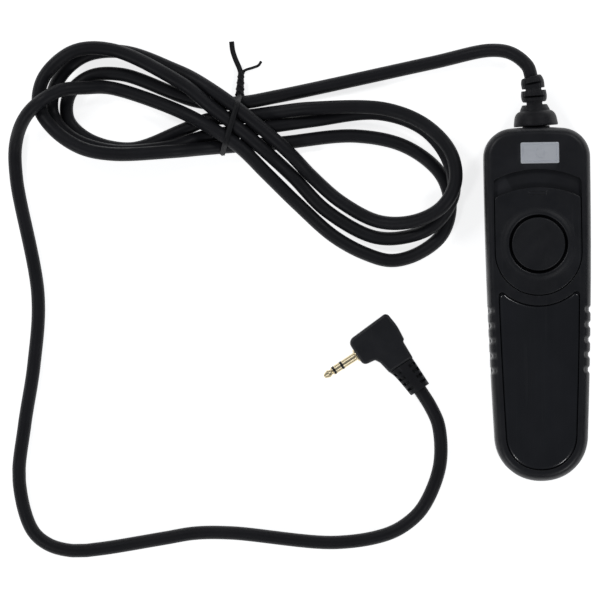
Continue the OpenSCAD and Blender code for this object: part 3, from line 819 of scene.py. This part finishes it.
def pocket(shell, loop, top, floor, edge=0.12):
    """A sunk pocket with a rounded rim. Returns its rim and its floor."""
    rings = [at_height(inset(loop, -edge), top)]
    for a in quarter(3):
        rings.append(at_height(inset(loop, -edge * (1 - math.sin(a))),
                               lambda p, a=a: top(p) - edge * (1 - math.cos(a))))
    rings.append(at_height(loop, floor + edge))
    rings.append(at_height(inset(loop, edge), floor))
    loops = shell.stack(rings)
    return loops[0], loops[-1]


def slot_outline(r, travel=4.0):
    """The slot that the button's barrel moves in, seen from above."""
    x, y = BUTTON
    return loop_of(
        arc((x, y), r, 180, 360), line((x + r, y), (x + r, y + travel)),
        arc((x, y + travel), r, 0, 180), line((x - r, y + travel), (x - r, y)),
    )


badge_low, badge_high = node_box("badge")
BADGE_CENTRE = tuple((badge_low + badge_high)[:2] / 2)
BADGE_SIZE = (badge_high - badge_low)[:2]
BADGE_GAP = 0.1
PANEL_GAP = 0.22
PANEL_IN = 3.2
PANEL_ARC = 15.75
RECESS_W = node_box("lock_slider")[1][0] + 0.2
RECESS_TOP = 39.5
SLIDER_TOP = node_box("lock_slider")[1][1]
SLOT_R = 9.6
SLOT_EASE = 0.15
SCREWS = [(side * x, y) for x, y in ((10.6, 46.3), (7.5, -43.0)) for side in (1, -1)]
BOSS_R = 2.8


def posts(profile, sides=40):
    """A turned shape at each cover screw."""
    shell = Shell()
    for x, y in SCREWS:
        shell.lathe(profile, Matrix.Translation((x, y, 0)), sides)
    return shell


def top_shell():
    """The top cover: grooved sides, a crowned face with three pockets, a slot and a hollow."""
    shell = Shell()
    rings = [*seam_rings(PARTING_Z, 1), side_ring(0, TOP_Z - EDGE_UP)]
    for a in quarter(12):
        rings.append(top_ring(EDGE_IN * (1 - math.cos(a)), TOP_Z - EDGE_UP * (1 - math.sin(a)), a))
    outside = shell.stack(rings)
    top = crowned(TOP_Z)
    recess_rim, recess_floor = pocket(shell, recess_outline(RECESS_W, RECESS_TOP), top, RECESS_Z)
    panel_rim, panel_floor = pocket(shell, panel_outline(PANEL_IN, PANEL_ARC), top, PANEL_FLOOR_Z, 0.15)
    plate = rounded_box(BADGE_CENTRE, BADGE_SIZE + 2 * BADGE_GAP, 0.5)
    badge_rim, badge_floor = pocket(shell, plate, top, BADGE_FLOOR_Z, 0.08)
    shell.fill(outside[-1], recess_rim, panel_rim, badge_rim, height=top, grid=2.0)
    shell.fill(panel_floor)
    shell.fill(badge_floor)
    slot = slot_outline(SLOT_R)
    slot_rings = shell.stack([
        at_height(inset(slot, -SLOT_EASE), RECESS_Z), at_height(slot, RECESS_Z - SLOT_EASE),
        at_height(slot, WEB_Z),
    ])
    shell.fill(recess_floor, slot_rings[0])
    inner = inset(OUTLINE, WALL)
    inside_rings = shell.stack([at_height(inner, WEB_Z), at_height(inner, PARTING_Z)])
    shell.fill(inside_rings[0], slot_rings[-1])
    shell.strip(inside_rings[-1], outside[0])
    root = WEB_Z + 0.5
    bosses = posts(rod(BOSS_R, PARTING_Z, root))
    holes = posts(rod(1, PARTING_Z - 1, WEB_Z + 0.2), 32)
    cord_hole(holes)
    return carve(carve(shell.mesh("top_shell"), bosses, "UNION"), holes)


def cord_hole(shell):
    """Cutter for the round opening of the strain relief's neck."""
    shell.lathe(rod(4.05, 44, 56), ALONG_HANDLE, 64)


def bottom_shell():
    """The bottom cover: a rounded tray with four bosses and sunk screw holes."""
    shell = Shell()
    base_in, base_up, ease = 3.2, 3.2, 0.4
    rings = []
    for a in [0, *quarter(10)]:
        rings.append(side_ring(base_in * (1 - math.sin(a)), base_up * (1 - math.cos(a))))
    seam = PARTING_Z - 0.02
    outside = shell.stack(rings + seam_rings(seam, -1)[::-1])
    shell.fill(outside[0])
    inner = inset(OUTLINE, WALL)
    inside_rings = shell.stack([
        at_height(inner, seam), at_height(inner, FLOOR_Z + ease), at_height(inset(inner, ease), FLOOR_Z),
    ])
    shell.strip(outside[-1], inside_rings[0])
    shell.fill(inside_rings[-1])
    root = FLOOR_Z - 0.5
    bosses = posts(rod(BOSS_R, root, seam))
    head_r, shank_r, head_z = 2.1, 1.15, 2
    holes = posts([(0, -1), (2.5, -1), (2.35, 0.12), (head_r, 0.3), (head_r, head_z), (shank_r, head_z),
                   (shank_r, PARTING_Z + 1), (0, PARTING_Z + 1)])
    cord_hole(holes)
    return carve(carve(shell.mesh("bottom_shell"), bosses, "UNION"), holes)


def slider_mesh():
    """The lock slider: a crowned plate with a raised ring, a thumb ridge and a barrel."""
    shell = Shell()
    base = RECESS_Z + 0.1
    ease, edge = 0.15, 0.3
    plate = recess_outline(RECESS_W - 0.2, SLIDER_TOP)
    top = crowned(TOP_Z)
    rings = [at_height(inset(plate, ease), base), at_height(plate, base + ease)]
    outside = shell.stack(rings + rim(plate, top, edge, edge, 4))
    barrel_r, bore_r, barrel_z = 9.3, 7.95, 13.3
    barrel = [(barrel_r, base), (barrel_r, barrel_z), (bore_r, barrel_z), (bore_r, TOP_Z - 1.3)]
    lip = [(8.1, -1.1), (8.55, -0.5), (8.62, 0.05), (8.72, 0.26), (8.95, 0.36), (9.2, 0.38), (9.6, 0.31),
           (10.1, 0.16), (10.6, 0.05), (11.0, 0)]
    rings = [at_height(circle(BUTTON, r), z) for r, z in barrel + [(r, TOP_Z + up) for r, up in lip]]
    boss = shell.stack([*rings, at_height(circle(BUTTON, 11.4), top)])
    ridge = rounded_box((0, 32.5), (5.3, 0.7), 0.33, 0.08)
    steps = [(-0.15, 0.0), (-0.04, 0.05), (0, 0.16), (0, 0.28), (0.05, 0.36), (0.14, 0.4)]
    ridge_rings = shell.stack([
        at_height(inset(ridge, d), lambda p, up=up: top(p) + up) for d, up in steps
    ])
    shell.fill(ridge_rings[-1])
    shell.fill(outside[-1], boss[-1], ridge_rings[0], height=top, grid=1.6)
    shell.fill(outside[0], boss[0])
    return shell.mesh("slider")


def button_mesh():
    """The shutter button: a dished cap, hollow for its spring, with a flange and a catch."""
    shell = Shell()
    r, edge, crown = 7.85, 0.42, TOP_Z + 0.58
    under, flange, flange_r = 12.3, 13.2, 8.8
    hollow_r, hollow_z = 6.5, TOP_Z - 1.1
    stem_r, stem_z, socket_r, socket_z = 2.6, hollow_z - 2, 1.52, hollow_z - 0.5
    profile = [(0, socket_z), (socket_r, socket_z), (socket_r, stem_z), (stem_r, stem_z),
               (stem_r, hollow_z), (hollow_r, hollow_z), (hollow_r, under), (flange_r, under),
               (flange_r, flange), (r, flange), (r, crown - edge)]
    profile += [(r - edge * (1 - math.cos(a)), crown - edge * (1 - math.sin(a))) for a in quarter(6)]
    dish, dish_power, steps = 0.3, 1.3, 12
    for k in range(1, steps + 1):
        u = 1 - k / steps
        profile.append(((r - edge) * u, crown - dish * (1 - u * u) ** dish_power))
    shell.lathe(profile, Matrix.Translation((*BUTTON, 0)), 128)
    start, end = BUTTON[1] + 7, node_box("shutter_button")[1][1]
    catch = Shell()
    tab = rounded_box((BUTTON[0], (start + end) / 2), (6, end - start), 0.5)
    rings = catch.stack([at_height(tab, under + 0.01), at_height(tab, flange - 0.01)])
    catch.fill(rings[0])
    catch.fill(rings[1])
    return carve(shell.mesh("button"), catch, "UNION")


def panel_mesh():
    """The glossy grip panel, its edges rounded and its face gently crowned."""
    shell = Shell()
    loop = panel_outline(PANEL_IN + PANEL_GAP, PANEL_ARC + PANEL_GAP, 1.1)
    edge_in, edge_up, ease = 1.0, 0.5, 0.1
    top = crowned(TOP_Z + 0.14, 0.22)
    base = PANEL_FLOOR_Z + 0.15
    rings = [at_height(inset(loop, ease), base), at_height(loop, base + ease)]
    loops = shell.stack(rings + rim(loop, top, edge_in, edge_up, 8))
    shell.fill(loops[0])
    shell.fill(loops[-1], height=top, grid=1.3)
    return shell.mesh("grip_panel")


def engraved(shell, outer, inner, top, slope=0.04, depth=0.14):
    """A shallow groove between two loops. Returns its outer and inner rims."""
    rings = shell.stack([at_height(outer, top), at_height(inset(outer, slope), top - depth)])
    more = shell.stack([at_height(inner, top), at_height(inset(inner, -slope), top - depth)])
    shell.fill(rings[-1], more[-1])
    return rings[0], more[0]


def badge_mesh():
    """A blank bright plate with an engraved border and a small plain ring."""
    shell = Shell()
    top, edge = badge_high[2], 0.14
    plate = rounded_box(BADGE_CENTRE, BADGE_SIZE, 0.45)
    loops = shell.stack([at_height(plate, badge_low[2]), *rim(plate, crowned(top, 0), edge, edge, 3)])
    border = engraved(shell, *(rounded_box(BADGE_CENTRE, BADGE_SIZE - d, 0.3) for d in (1.1, 1.7)), top)
    ring = engraved(shell, *(circle(BADGE_CENTRE, r, 48) for r in (1.5, 1.1)), top)
    shell.fill(loops[0])
    shell.fill(loops[-1], border[0])
    shell.fill(border[1], ring[0])
    shell.fill(ring[1])
    return shell.mesh("badge")


piece("top_shell", top_shell(), "cover_plastic", "handle", "top_cover")
piece("bottom_shell", bottom_shell(), "cover_plastic", "handle", "bottom_cover")
piece("slider", slider_mesh(), "slider_plastic", "slider", "lock_slider")
piece("button", button_mesh(), "button_plastic", "button", "shutter_button")
piece("panel", panel_mesh(), "grip_plastic", "handle", "grip_panel")
piece("name_plate", badge_mesh(), "badge_metal", "handle", "badge")

# ------------------------------------------------------------------ strain relief


BORE_R = CORD_R + 0.02
RELIEF_WEB = 2.3
RELIEF_RIB = 0.05
RELIEF_RIBS = 24
# Collar, waist and rings of the strain relief: distance from the handle's end and radius
RELIEF_PROFILE = [
    (0.45, 6.4), (0.6, 6.5), (1.0, 6.5), (1.5, 6.42), (2.0, 6.34), (2.5, 6.27), (3.0, 6.17),
    (3.5, 6.0), (4.0, 5.72), (4.4, 5.38), (4.7, 4.95), (4.85, 4.5), (5.0, 4.4), (5.5, 4.25),
    (6.1, 3.92), (6.6, 3.68), (7.5, 3.2), (7.9, 3.56), (8.5, 3.7), (9.3, 3.76), (10.2, 3.68),
    (11.0, 3.52), (11.4, 3.3), (12.2, 3.36), (13.2, 3.38), (14.2, 3.2), (14.8, 2.95), (15.0, 2.5),
]
# Its crossing slots: distance, half width, and whether they cut the sides or the top
RELIEF_SLOTS = [(7.05, 0.38, 0), (9.0, 0.3, 1), (11.15, 0.28, 0), (12.9, 0.28, 1)]


def stations(even, ends, slots, ease):
    """Places of rings along a sleeve: even ones, its ends and both sides of each slot."""
    sides = {at + way * d for at, half in slots for way in (-1, 1) for d in (half, half + ease)}
    return sorted({*np.round(even, 3), *ends, *sides})


def ring_on(middle, axis, radius, turn):
    """Ring of one or of varied radius around a level axis."""
    across = np.array([axis[1], -axis[0], 0])
    spokes = np.cos(turn)[:, None] * across + np.sin(turn)[:, None] * np.array([0, 0, 1])
    return middle + np.broadcast_to(radius, turn.shape)[:, None] * spokes


def relief_mesh():
    """Moulded strain relief: a domed collar, rings cut by crossing slots, and its neck."""
    sides = 96
    turn = np.arange(sides) * 2 * math.pi / sides
    start = RELIEF_PROFILE[0][0]
    ends = (start, RELIEF_PROFILE[1][0], RELIEF_LEN)
    rings = []
    for at in stations(np.arange(0.7, RELIEF_LEN, 0.22), ends, [slot[:2] for slot in RELIEF_SLOTS], 0.06):
        radius = np.full(sides, np.interp(at, *zip(*RELIEF_PROFILE)))
        radius += RELIEF_RIB * np.cos(RELIEF_RIBS * turn) * fade(at, 6.9, 7.3) * (1 - fade(at, 13.9, 14.4))
        for middle, half, across in RELIEF_SLOTS:
            if abs(at - middle) <= half:
                reach = np.abs(np.sin(turn) if across else np.cos(turn))
                radius = np.minimum(radius, RELIEF_WEB / np.maximum(reach, 0.01))
        rings.append(ring_on(*relief_at(at), radius, turn))
    bore = (RELIEF_LEN, 13.5, CORD_IN_RELIEF, RELIEF_BEND_FROM, start)
    rings += [ring_on(*relief_at(at), BORE_R, turn) for at in bore]
    shell = Shell()
    shell.stack(rings, close=True)
    flange_r, neck_r, bore_r = 5.4, 4, CORD_R + 0.05
    flange_start, flange_end, neck_end = HANDLE_END - 3.9, HANDLE_END - 2.5, HANDLE_END + 0.5
    shell.lathe([(flange_r, flange_start), (flange_r, flange_end), (neck_r, flange_end),
                 (neck_r, neck_end), (bore_r, neck_end), (bore_r, flange_start)], ALONG_HANDLE, 64, True)
    return shell.mesh("strain_relief", 30)


def inner_jacket_mesh():
    """The cord's jacket from the clamp to the strain relief's bore."""
    start = line((0, 36.8), (0, HANDLE_END), 2.0)
    path = np.vstack([start, relief_at(CORD_IN_RELIEF)[0][None, :2]])
    return tube(at_height(path, CORD_Z), CORD_R, CORD_SIDES).mesh("cord_inner")


piece("strain_relief_skin", relief_mesh(), "boot_rubber", "handle", "strain_relief")
piece("cord_inner", inner_jacket_mesh(), "cord_jacket", "handle", "cable_end")

# ------------------------------------------------------------------ plug

to_plug = Matrix.Translation(PLUG_AT) @ Matrix.Rotation(PLUG_TURN, 4, "Z")
along_pin = to_plug @ Matrix.Rotation(math.radians(90), 4, "Y")
PIN_ROOT = 9.8
PIN_TIP = 21.5
PIN_R = 1.25
HEAD_T = 3.8
BOOT_START = 9.6
BOOT_END = 18.6
BOOT_LEFT = -3.25
# The boot's right side: distance along it and reach
BOOT_RIGHT = [(9.6, 4.65), (11, 4.1), (13, 3.75), (15, 3.5), (18.6, 3.15)]
BOOT_SLOTS = [(BOOT_START + 1.5 + 1.9 * k, 0.42) for k in range(4)]
BOOT_SLOT_DEPTH = 0.75


def moved(points, place):
    """Points carried to a place."""
    move = np.array(place)
    return points @ move[:3, :3].T + move[:3, 3]


def plug_body_mesh():
    """The right-angle head: a soft-edged moulded block with a tapering neck. It is solid, without
    the CAD part's bore, so the pin's root lies inside it."""
    shell = Shell()
    neck_end = BOOT_START - 0.03
    corners = [
        (10.0, -5.0, 2.0), (10.0, 3.55, 1.6), (6.3, 4.1, 0.7), (5.5, 5.5, 1.5), (4.75, neck_end, 0.3),
        (-3.4, neck_end, 0.3), (-3.65, 4.0, 0.7), (-4.25, 3.6, 0.5), (-4.7, -0.8, 14.0),
        (-4.2, -5.8, 1.3),
    ]
    edge_in, edge_up = 0.9, 1.0
    levels = []
    for a in [0, *quarter(7)]:
        levels.append((edge_in * (1 - math.sin(a)), edge_up * (1 - math.cos(a)) - HEAD_T))
    levels += [(0.0, 0.0)] + [(d, -z) for d, z in reversed(levels)]
    loops = shell.stack([moved(at_height(round_polygon(corners, d), z), to_plug) for d, z in levels])
    shell.fill(loops[0])
    shell.fill(loops[-1])
    return shell.mesh("plug_body")


def boot_section(at, turn):
    """Offset, x and z of the boot's outside at a distance along it, without its slots."""
    share = (at - BOOT_START) / (BOOT_END - BOOT_START)
    right = np.interp(at, *zip(*BOOT_RIGHT))
    squareness, rounding = 5.0, 3.0
    half_t, thinning = 3.35, 0.3
    power = squareness - rounding * fade(share, 0, 1)
    reach = (np.abs(np.cos(turn)) ** power + np.abs(np.sin(turn)) ** power) ** (-1 / power)
    x = (right - BOOT_LEFT) / 2 * reach * np.cos(turn)
    return (BOOT_LEFT + right) / 2, x, (half_t - thinning * share) * reach * np.sin(turn)


def boot_mesh():
    """Ribbed boot: soft square at the head, round at the cord, with sunk slots at its corners."""
    sides = 120
    turn = np.arange(sides) * 2 * math.pi / sides
    corner = np.abs(np.arctan2(np.abs(np.sin(turn)), np.abs(np.cos(turn))) - math.radians(47))
    near = 1 - fade(corner, math.radians(17), math.radians(21))
    ends = (BOOT_START, BOOT_START + 0.12, BOOT_END - 0.35, BOOT_END - 0.1, BOOT_END)
    rings = []
    for at in stations(np.arange(BOOT_START + 0.3, BOOT_END - 0.4, 0.3), ends, BOOT_SLOTS, 0.08):
        offset, x, z = boot_section(at, turn)
        sunk = BOOT_SLOT_DEPTH * any(abs(at - middle) <= half for middle, half in BOOT_SLOTS)
        eased = 0.07 if at in (BOOT_START, BOOT_END) else 0.0
        scale = 1 - (sunk * near + eased) / np.hypot(x, z)
        rings.append(np.stack([offset + x * scale, np.full(sides, at), z * scale], axis=1))
    for at in (BOOT_END, BOOT_START + 0.01):
        rings.append(np.stack([BORE_R * np.cos(turn), np.full(sides, at), BORE_R * np.sin(turn)], axis=1))
    shell = Shell()
    shell.stack([moved(ring, to_plug) for ring in rings], close=True)
    return shell.mesh("plug_boot", 30)


def turned_mesh(name, profiles):
    """Pieces of the pin, turned about its axis. Heights are distances from the head."""
    shell = Shell()
    for profile in profiles:
        shell.lathe(profile, along_pin, 72)
    return shell.mesh(name, 32)


def band(start, end, r=PIN_R, ease=0.06):
    """Profile of one stretch of the pin between two distances from its tip, its edges eased."""
    a, b = PIN_TIP - start, PIN_TIP - end
    return [(0, a), (r - ease, a), (r, a + ease), (r, b - ease), (r - ease, b), (0, b)]


SHOULDER = [(1.8, 0.02), (1.95, 0.15), (1.95, 0.45), (1.85, 0.6), (1.5, 0.69), (0, 0.69)]
TIP = [
    (0, 3.29), (PIN_R - 0.04, 3.29), (PIN_R, 3.24), (PIN_R, 3.0), (1.15, 2.88), (0.9, 2.66), (0.86, 2.5),
    (0.88, 2.36), (1.05, 2.0), (1.2, 1.78), (1.235, 1.65), (1.2, 1.5), (0.98, 0.92), (0.75, 0.36),
    (0.6, 0.14), (0.38, 0.03), (0, 0),
]
SLEEVE_R = PIN_R + 0.03
SLEEVE_START = 7.3
INSULATOR_R = PIN_R + 0.02
shoulder = [(0, SLEEVE_START), (SLEEVE_R, SLEEVE_START), (SLEEVE_R, PIN_ROOT + 0.02)]
shoulder += [(r, PIN_ROOT + out) for r, out in SHOULDER]
insulators = [band(6.55, 5.85, INSULATOR_R, 0.02), band(3.9, 3.2, INSULATOR_R, 0.02)]
# The pin's pieces: CAD node, material slot and profiles
PIN = {
    "plug_shoulder": ("plug_collar", "plug_gold", [shoulder]),
    "pin_sleeve": ("plug_sleeve", "plug_gold", [band(11, 6.46)]),
    "pin_ring": ("plug_ring", "plug_gold", [band(5.94, 3.81)]),
    "pin_insulators": ("plug_insulators", "plug_insulator", insulators),
    "pin_tip": ("plug_tip", "plug_gold", [[(r, PIN_TIP - back) for r, back in TIP]]),
}
plug_pieces = [
    piece("plug_head", plug_body_mesh(), "plug_plastic", "handle", "plug_body"),
    piece("plug_boot_skin", boot_mesh(), "boot_rubber", "handle", "plug_boot"),
]
for name, (node, slot, profiles) in PIN.items():
    plug_pieces.append(piece(name, turned_mesh(name, profiles), slot, "handle", node))

# ------------------------------------------------------------------ twist tie

TIE_AT = np.array([-89.6, 54.1])
TIE_TURN = math.radians(-17.5)
TIE_W = 1.6
TIE_T = 0.42
tie_along = np.array([math.cos(TIE_TURN), math.sin(TIE_TURN)])
tie_across = np.array([-math.sin(TIE_TURN), math.cos(TIE_TURN)])
# The twisted stem: its ends, turns, and radius at its foot and top
STEM_START = np.array([-86.9, 62.9, 1.9])
STEM_END = np.array([-86.4, 69.2, 1.35])
STEM_TURNS = 1.75
STEM_R = (1.05, 0.62)
# The two tails that leave the stem, and how narrow they look from above
TAILS = [
    (0.95, [(-86.9, 70.9, 1.3), (-87.9, 73.3, 1.0), (-88.75, 76.0, 0.8), (-89.05, 78.75, 0.8)]),
    (0.5, [(-85.2, 70.2, 1.0), (-83.0, 70.9, 0.8), (-81.2, 71.6, 0.75), (-80.4, 72.8, 0.75)]),
]


def hull(points):
    """Counter-clockwise outer points of a flat set."""
    ordered = sorted(map(tuple, points))

    def half(sequence):
        kept = []
        for p in sequence:
            while len(kept) > 1:
                (ax, ay), (bx, by) = kept[-2], kept[-1]
                if (bx - ax) * (p[1] - ay) - (by - ay) * (p[0] - ax) > 0:
                    break
                kept.pop()
            kept.append(p)
        return kept[:-1]

    return np.array(half(ordered) + half(ordered[::-1]))


def bundle_outline(gap, reach=12):
    """The outline of the cord's strands where the tie crosses them, seen along the bundle."""
    offset = (cord_path[:, :2] - TIE_AT) @ tie_along
    sideways = (cord_path[:, :2] - TIE_AT) @ tie_across
    crossing = np.nonzero((offset[:-1] * offset[1:] <= 0) & (np.abs(sideways[:-1]) < reach))[0]
    dots = [circle((sideways[i], cord_path[i, 2]), CORD_R + gap, 48) for i in crossing]
    return even_loop(hull(np.vstack(dots)), 0.4)


def ribbon_section(width, thickness):
    """Cross-section of the tie: a flat strip with a wire along its middle."""
    w, t, core = width / 2, thickness / 2, thickness * 0.95
    upper = [(w, 0), (w * 0.93, t * 0.7), (w * 0.55, t * 0.75), (w * 0.3, core * 0.75), (0, core)]
    upper += [(-x, y) for x, y in upper[-2::-1]]
    return np.array(upper + [(x, -y) for x, y in upper[-2:0:-1]])


def sweep(shell, path, flat, facing, close=False, wide=1.0):
    """A section carried along a path, its flat side turned to facing."""
    wide = np.broadcast_to(wide, len(path))
    if close:
        heading = np.roll(path, -1, axis=0) - np.roll(path, 1, axis=0)
    else:
        heading = np.gradient(path, axis=0)
    heading = heading / np.linalg.norm(heading, axis=1)[:, None]
    facing = facing - heading * (facing * heading).sum(axis=1)[:, None]
    facing = facing / np.linalg.norm(facing, axis=1)[:, None]
    across = np.cross(facing, heading)
    rings = [p + flat[:, :1] * a * w + flat[:, 1:] * f
             for p, a, f, w in zip(path, across, facing, wide)]
    loops = shell.stack(rings, close)
    if not close:
        shell.cap(loops[0], path[0])
        shell.cap(loops[-1], path[-1])


def on_tie(flat):
    """Points across the bundle as directions in space."""
    return np.column_stack([flat[:, 0] * tie_across[0], flat[:, 0] * tie_across[1], flat[:, 1]])


def tie_mesh():
    """The twist tie: a band round the strands, a stem of two wrapped ends, and their tails."""
    shell = Shell()
    section = ribbon_section(TIE_W, TIE_T)
    flat = softened(even_loop(bundle_outline(TIE_T * 0.55), 0.3), 5)
    flat[:, 1] = np.maximum(flat[:, 1], TIE_T)
    sweep(shell, on_tie(flat) + (*TIE_AT, 0), section, on_tie(normals(flat)), close=True)
    axis = (STEM_END - STEM_START) / np.linalg.norm(STEM_END - STEM_START)
    level = np.cross(axis, (0, 0, 1))
    upward = np.cross(level, axis)
    t = np.linspace(0, 1, 48)[:, None]
    radius = STEM_R[0] * (1 - t) + STEM_R[1] * t
    for k, (narrow, tail) in enumerate(TAILS):
        angle = 2 * math.pi * STEM_TURNS * (t - 1) + math.pi * (0.5 + k)
        spoke = np.cos(angle) * level + np.sin(angle) * upward
        stem = STEM_START * (1 - t) + STEM_END * t + radius * spoke
        rest = smooth_line([stem[-1], *tail], 0.3)[1:]
        facing = np.vstack([spoke, np.tile((0, 0, 1.0 - 2 * k), (len(rest), 1))])
        wide = np.concatenate([np.ones(len(stem)), 1 - (1 - narrow) * fade(np.arange(len(rest)), 0, 5)])
        sweep(shell, np.vstack([stem, rest]), section, facing, wide=wide)
    return shell.mesh("tie", 40)


tie = piece("tie", tie_mesh(), "tie_plastic", "handle", "twist_tie")

# ------------------------------------------------------------------ inner pieces

SPRING_R = 3.4
SPRING_WIRE = 0.3
SPRING_TURNS = 6


def spring_mesh():
    """The button's return spring."""
    t = np.linspace(0, 1, 40 * SPRING_TURNS + 1)
    angle = 2 * math.pi * SPRING_TURNS * t
    bottom, top = node_box("return_spring")
    rise = bottom[2] + SPRING_WIRE + (top[2] - bottom[2] - 2 * SPRING_WIRE) * t
    path = np.stack([SPRING_R * np.cos(angle), BUTTON[1] + SPRING_R * np.sin(angle), rise], axis=1)
    return tube(path, SPRING_WIRE, 10).mesh("spring")


spring = piece("spring", spring_mesh(), "steel", "slider", "return_spring")
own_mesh(spring)

# The wires: material slot, and distance from the middle at their bend and at their solder pad
WIRES = {"wire_focus": ("wire_red", 2.6, 3.6), "wire_shutter": ("wire_white", 0, 0),
         "wire_ground": ("wire_brown", -2.6, -3.6)}
WIRE_R = 0.45
BOARD_TOP = node_box("circuit_board")[1][2]
for node, (slot, x, pad) in WIRES.items():
    points = [(x * 0.4, 36.4, CORD_Z - 0.4), (x * 0.7, 35, CORD_Z - 1.3), (x, 33.8, CORD_Z - 3),
              (pad, 31.6, BOARD_TOP + 2), (pad, 29, BOARD_TOP + 0.8)]
    mesh = tube(smooth_line(points, 0.4), WIRE_R, 14).mesh(node)
    piece(f"{node}_lead", mesh, slot, "handle", node)

# CAD nodes that are shown as they are, by material
KEPT = {
    "steel": ("cover_screws", "latch_plate", "latch_screws", "detent_spring", "board_screws", "clamp_screws"),
    "natural_plastic": ("keeper_ring", "button_plunger"),
    "board_laminate": ("circuit_board",),
    "contact_metal": ("common_bracket", "common_leaf", "focus_contact", "shutter_contact", "contact_rivets"),
    "solder": ("solder_joints",),
    "clamp_plastic": ("cable_clamp",),
}
for slot, nodes in KEPT.items():
    for node in nodes:
        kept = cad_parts[node].data.materials
        kept.clear()
        kept.append(MATERIALS[slot])

# ------------------------------------------------------------------ floor and light

FLOOR_SIZE = 6.0
FLOOR_GAP = 0.00005
FLOOR_GLOW = 0.78


def make_floor():
    """A plain pale sheet just below the object."""
    data = bpy.data.meshes.new("floor")
    made = bmesh.new()
    bmesh.ops.create_grid(made, x_segments=2, y_segments=2, size=FLOOR_SIZE / 2)
    made.to_mesh(data)
    made.free()
    floor = bpy.data.objects.new("floor", data)
    floor.location.z = -FLOOR_GAP
    bpy.context.scene.collection.objects.link(floor)
    look = Look("floor_paper")
    tone = look.mix(look.noise(40, 3), (0.93, 0.93, 0.93), (0.96, 0.96, 0.96))
    look.link(tone, look.surface["Base Color"])
    look.surface["Roughness"].default_value = 0.9
    look.surface["Specular IOR Level"].default_value = 0.1
    look.surface["Emission Color"].default_value = (1, 1, 1, 1)
    look.surface["Emission Strength"].default_value = FLOOR_GLOW
    floor.data.materials.append(look.material)


LIGHT_DISTANCE = 0.75
# The soft lights: direction and height in degrees, size and power
LIGHTS = {
    "light_back_left": (135, 45, 0.16, 0.85), "light_back_right": (48, 42, 0.14, 0.65),
    "light_front_left": (228, 42, 0.12, 0.7), "light_front_right": (312, 42, 0.12, 0.7),
}


def softbox(name, azimuth, height, size, power):
    """A square soft light that faces the middle of the object."""
    low, high = (Vector(v) for v in cad_bounds)
    data = bpy.data.lights.new(name, "AREA")
    data.shape = "SQUARE"
    data.size = size
    data.energy = power
    light = bpy.data.objects.new(name, data)
    a, h = math.radians(azimuth), math.radians(height)
    way = Vector((math.cos(a) * math.cos(h), math.sin(a) * math.cos(h), math.sin(h)))
    light.location = (low + high) / 2 + way * LIGHT_DISTANCE
    light.rotation_euler = way.to_track_quat("Z", "Y").to_euler()
    bpy.context.scene.collection.objects.link(light)


make_floor()
for name, placing in LIGHTS.items():
    softbox(name, *placing)

world = bpy.data.worlds.new("world")
world.use_nodes = True
sky = world.node_tree.nodes["Background"].inputs
sky["Color"].default_value = (0.80, 0.88, 1.0, 1)
sky["Strength"].default_value = 0.12
bpy.context.scene.world = world
bpy.context.scene.view_settings.view_transform = "Standard"
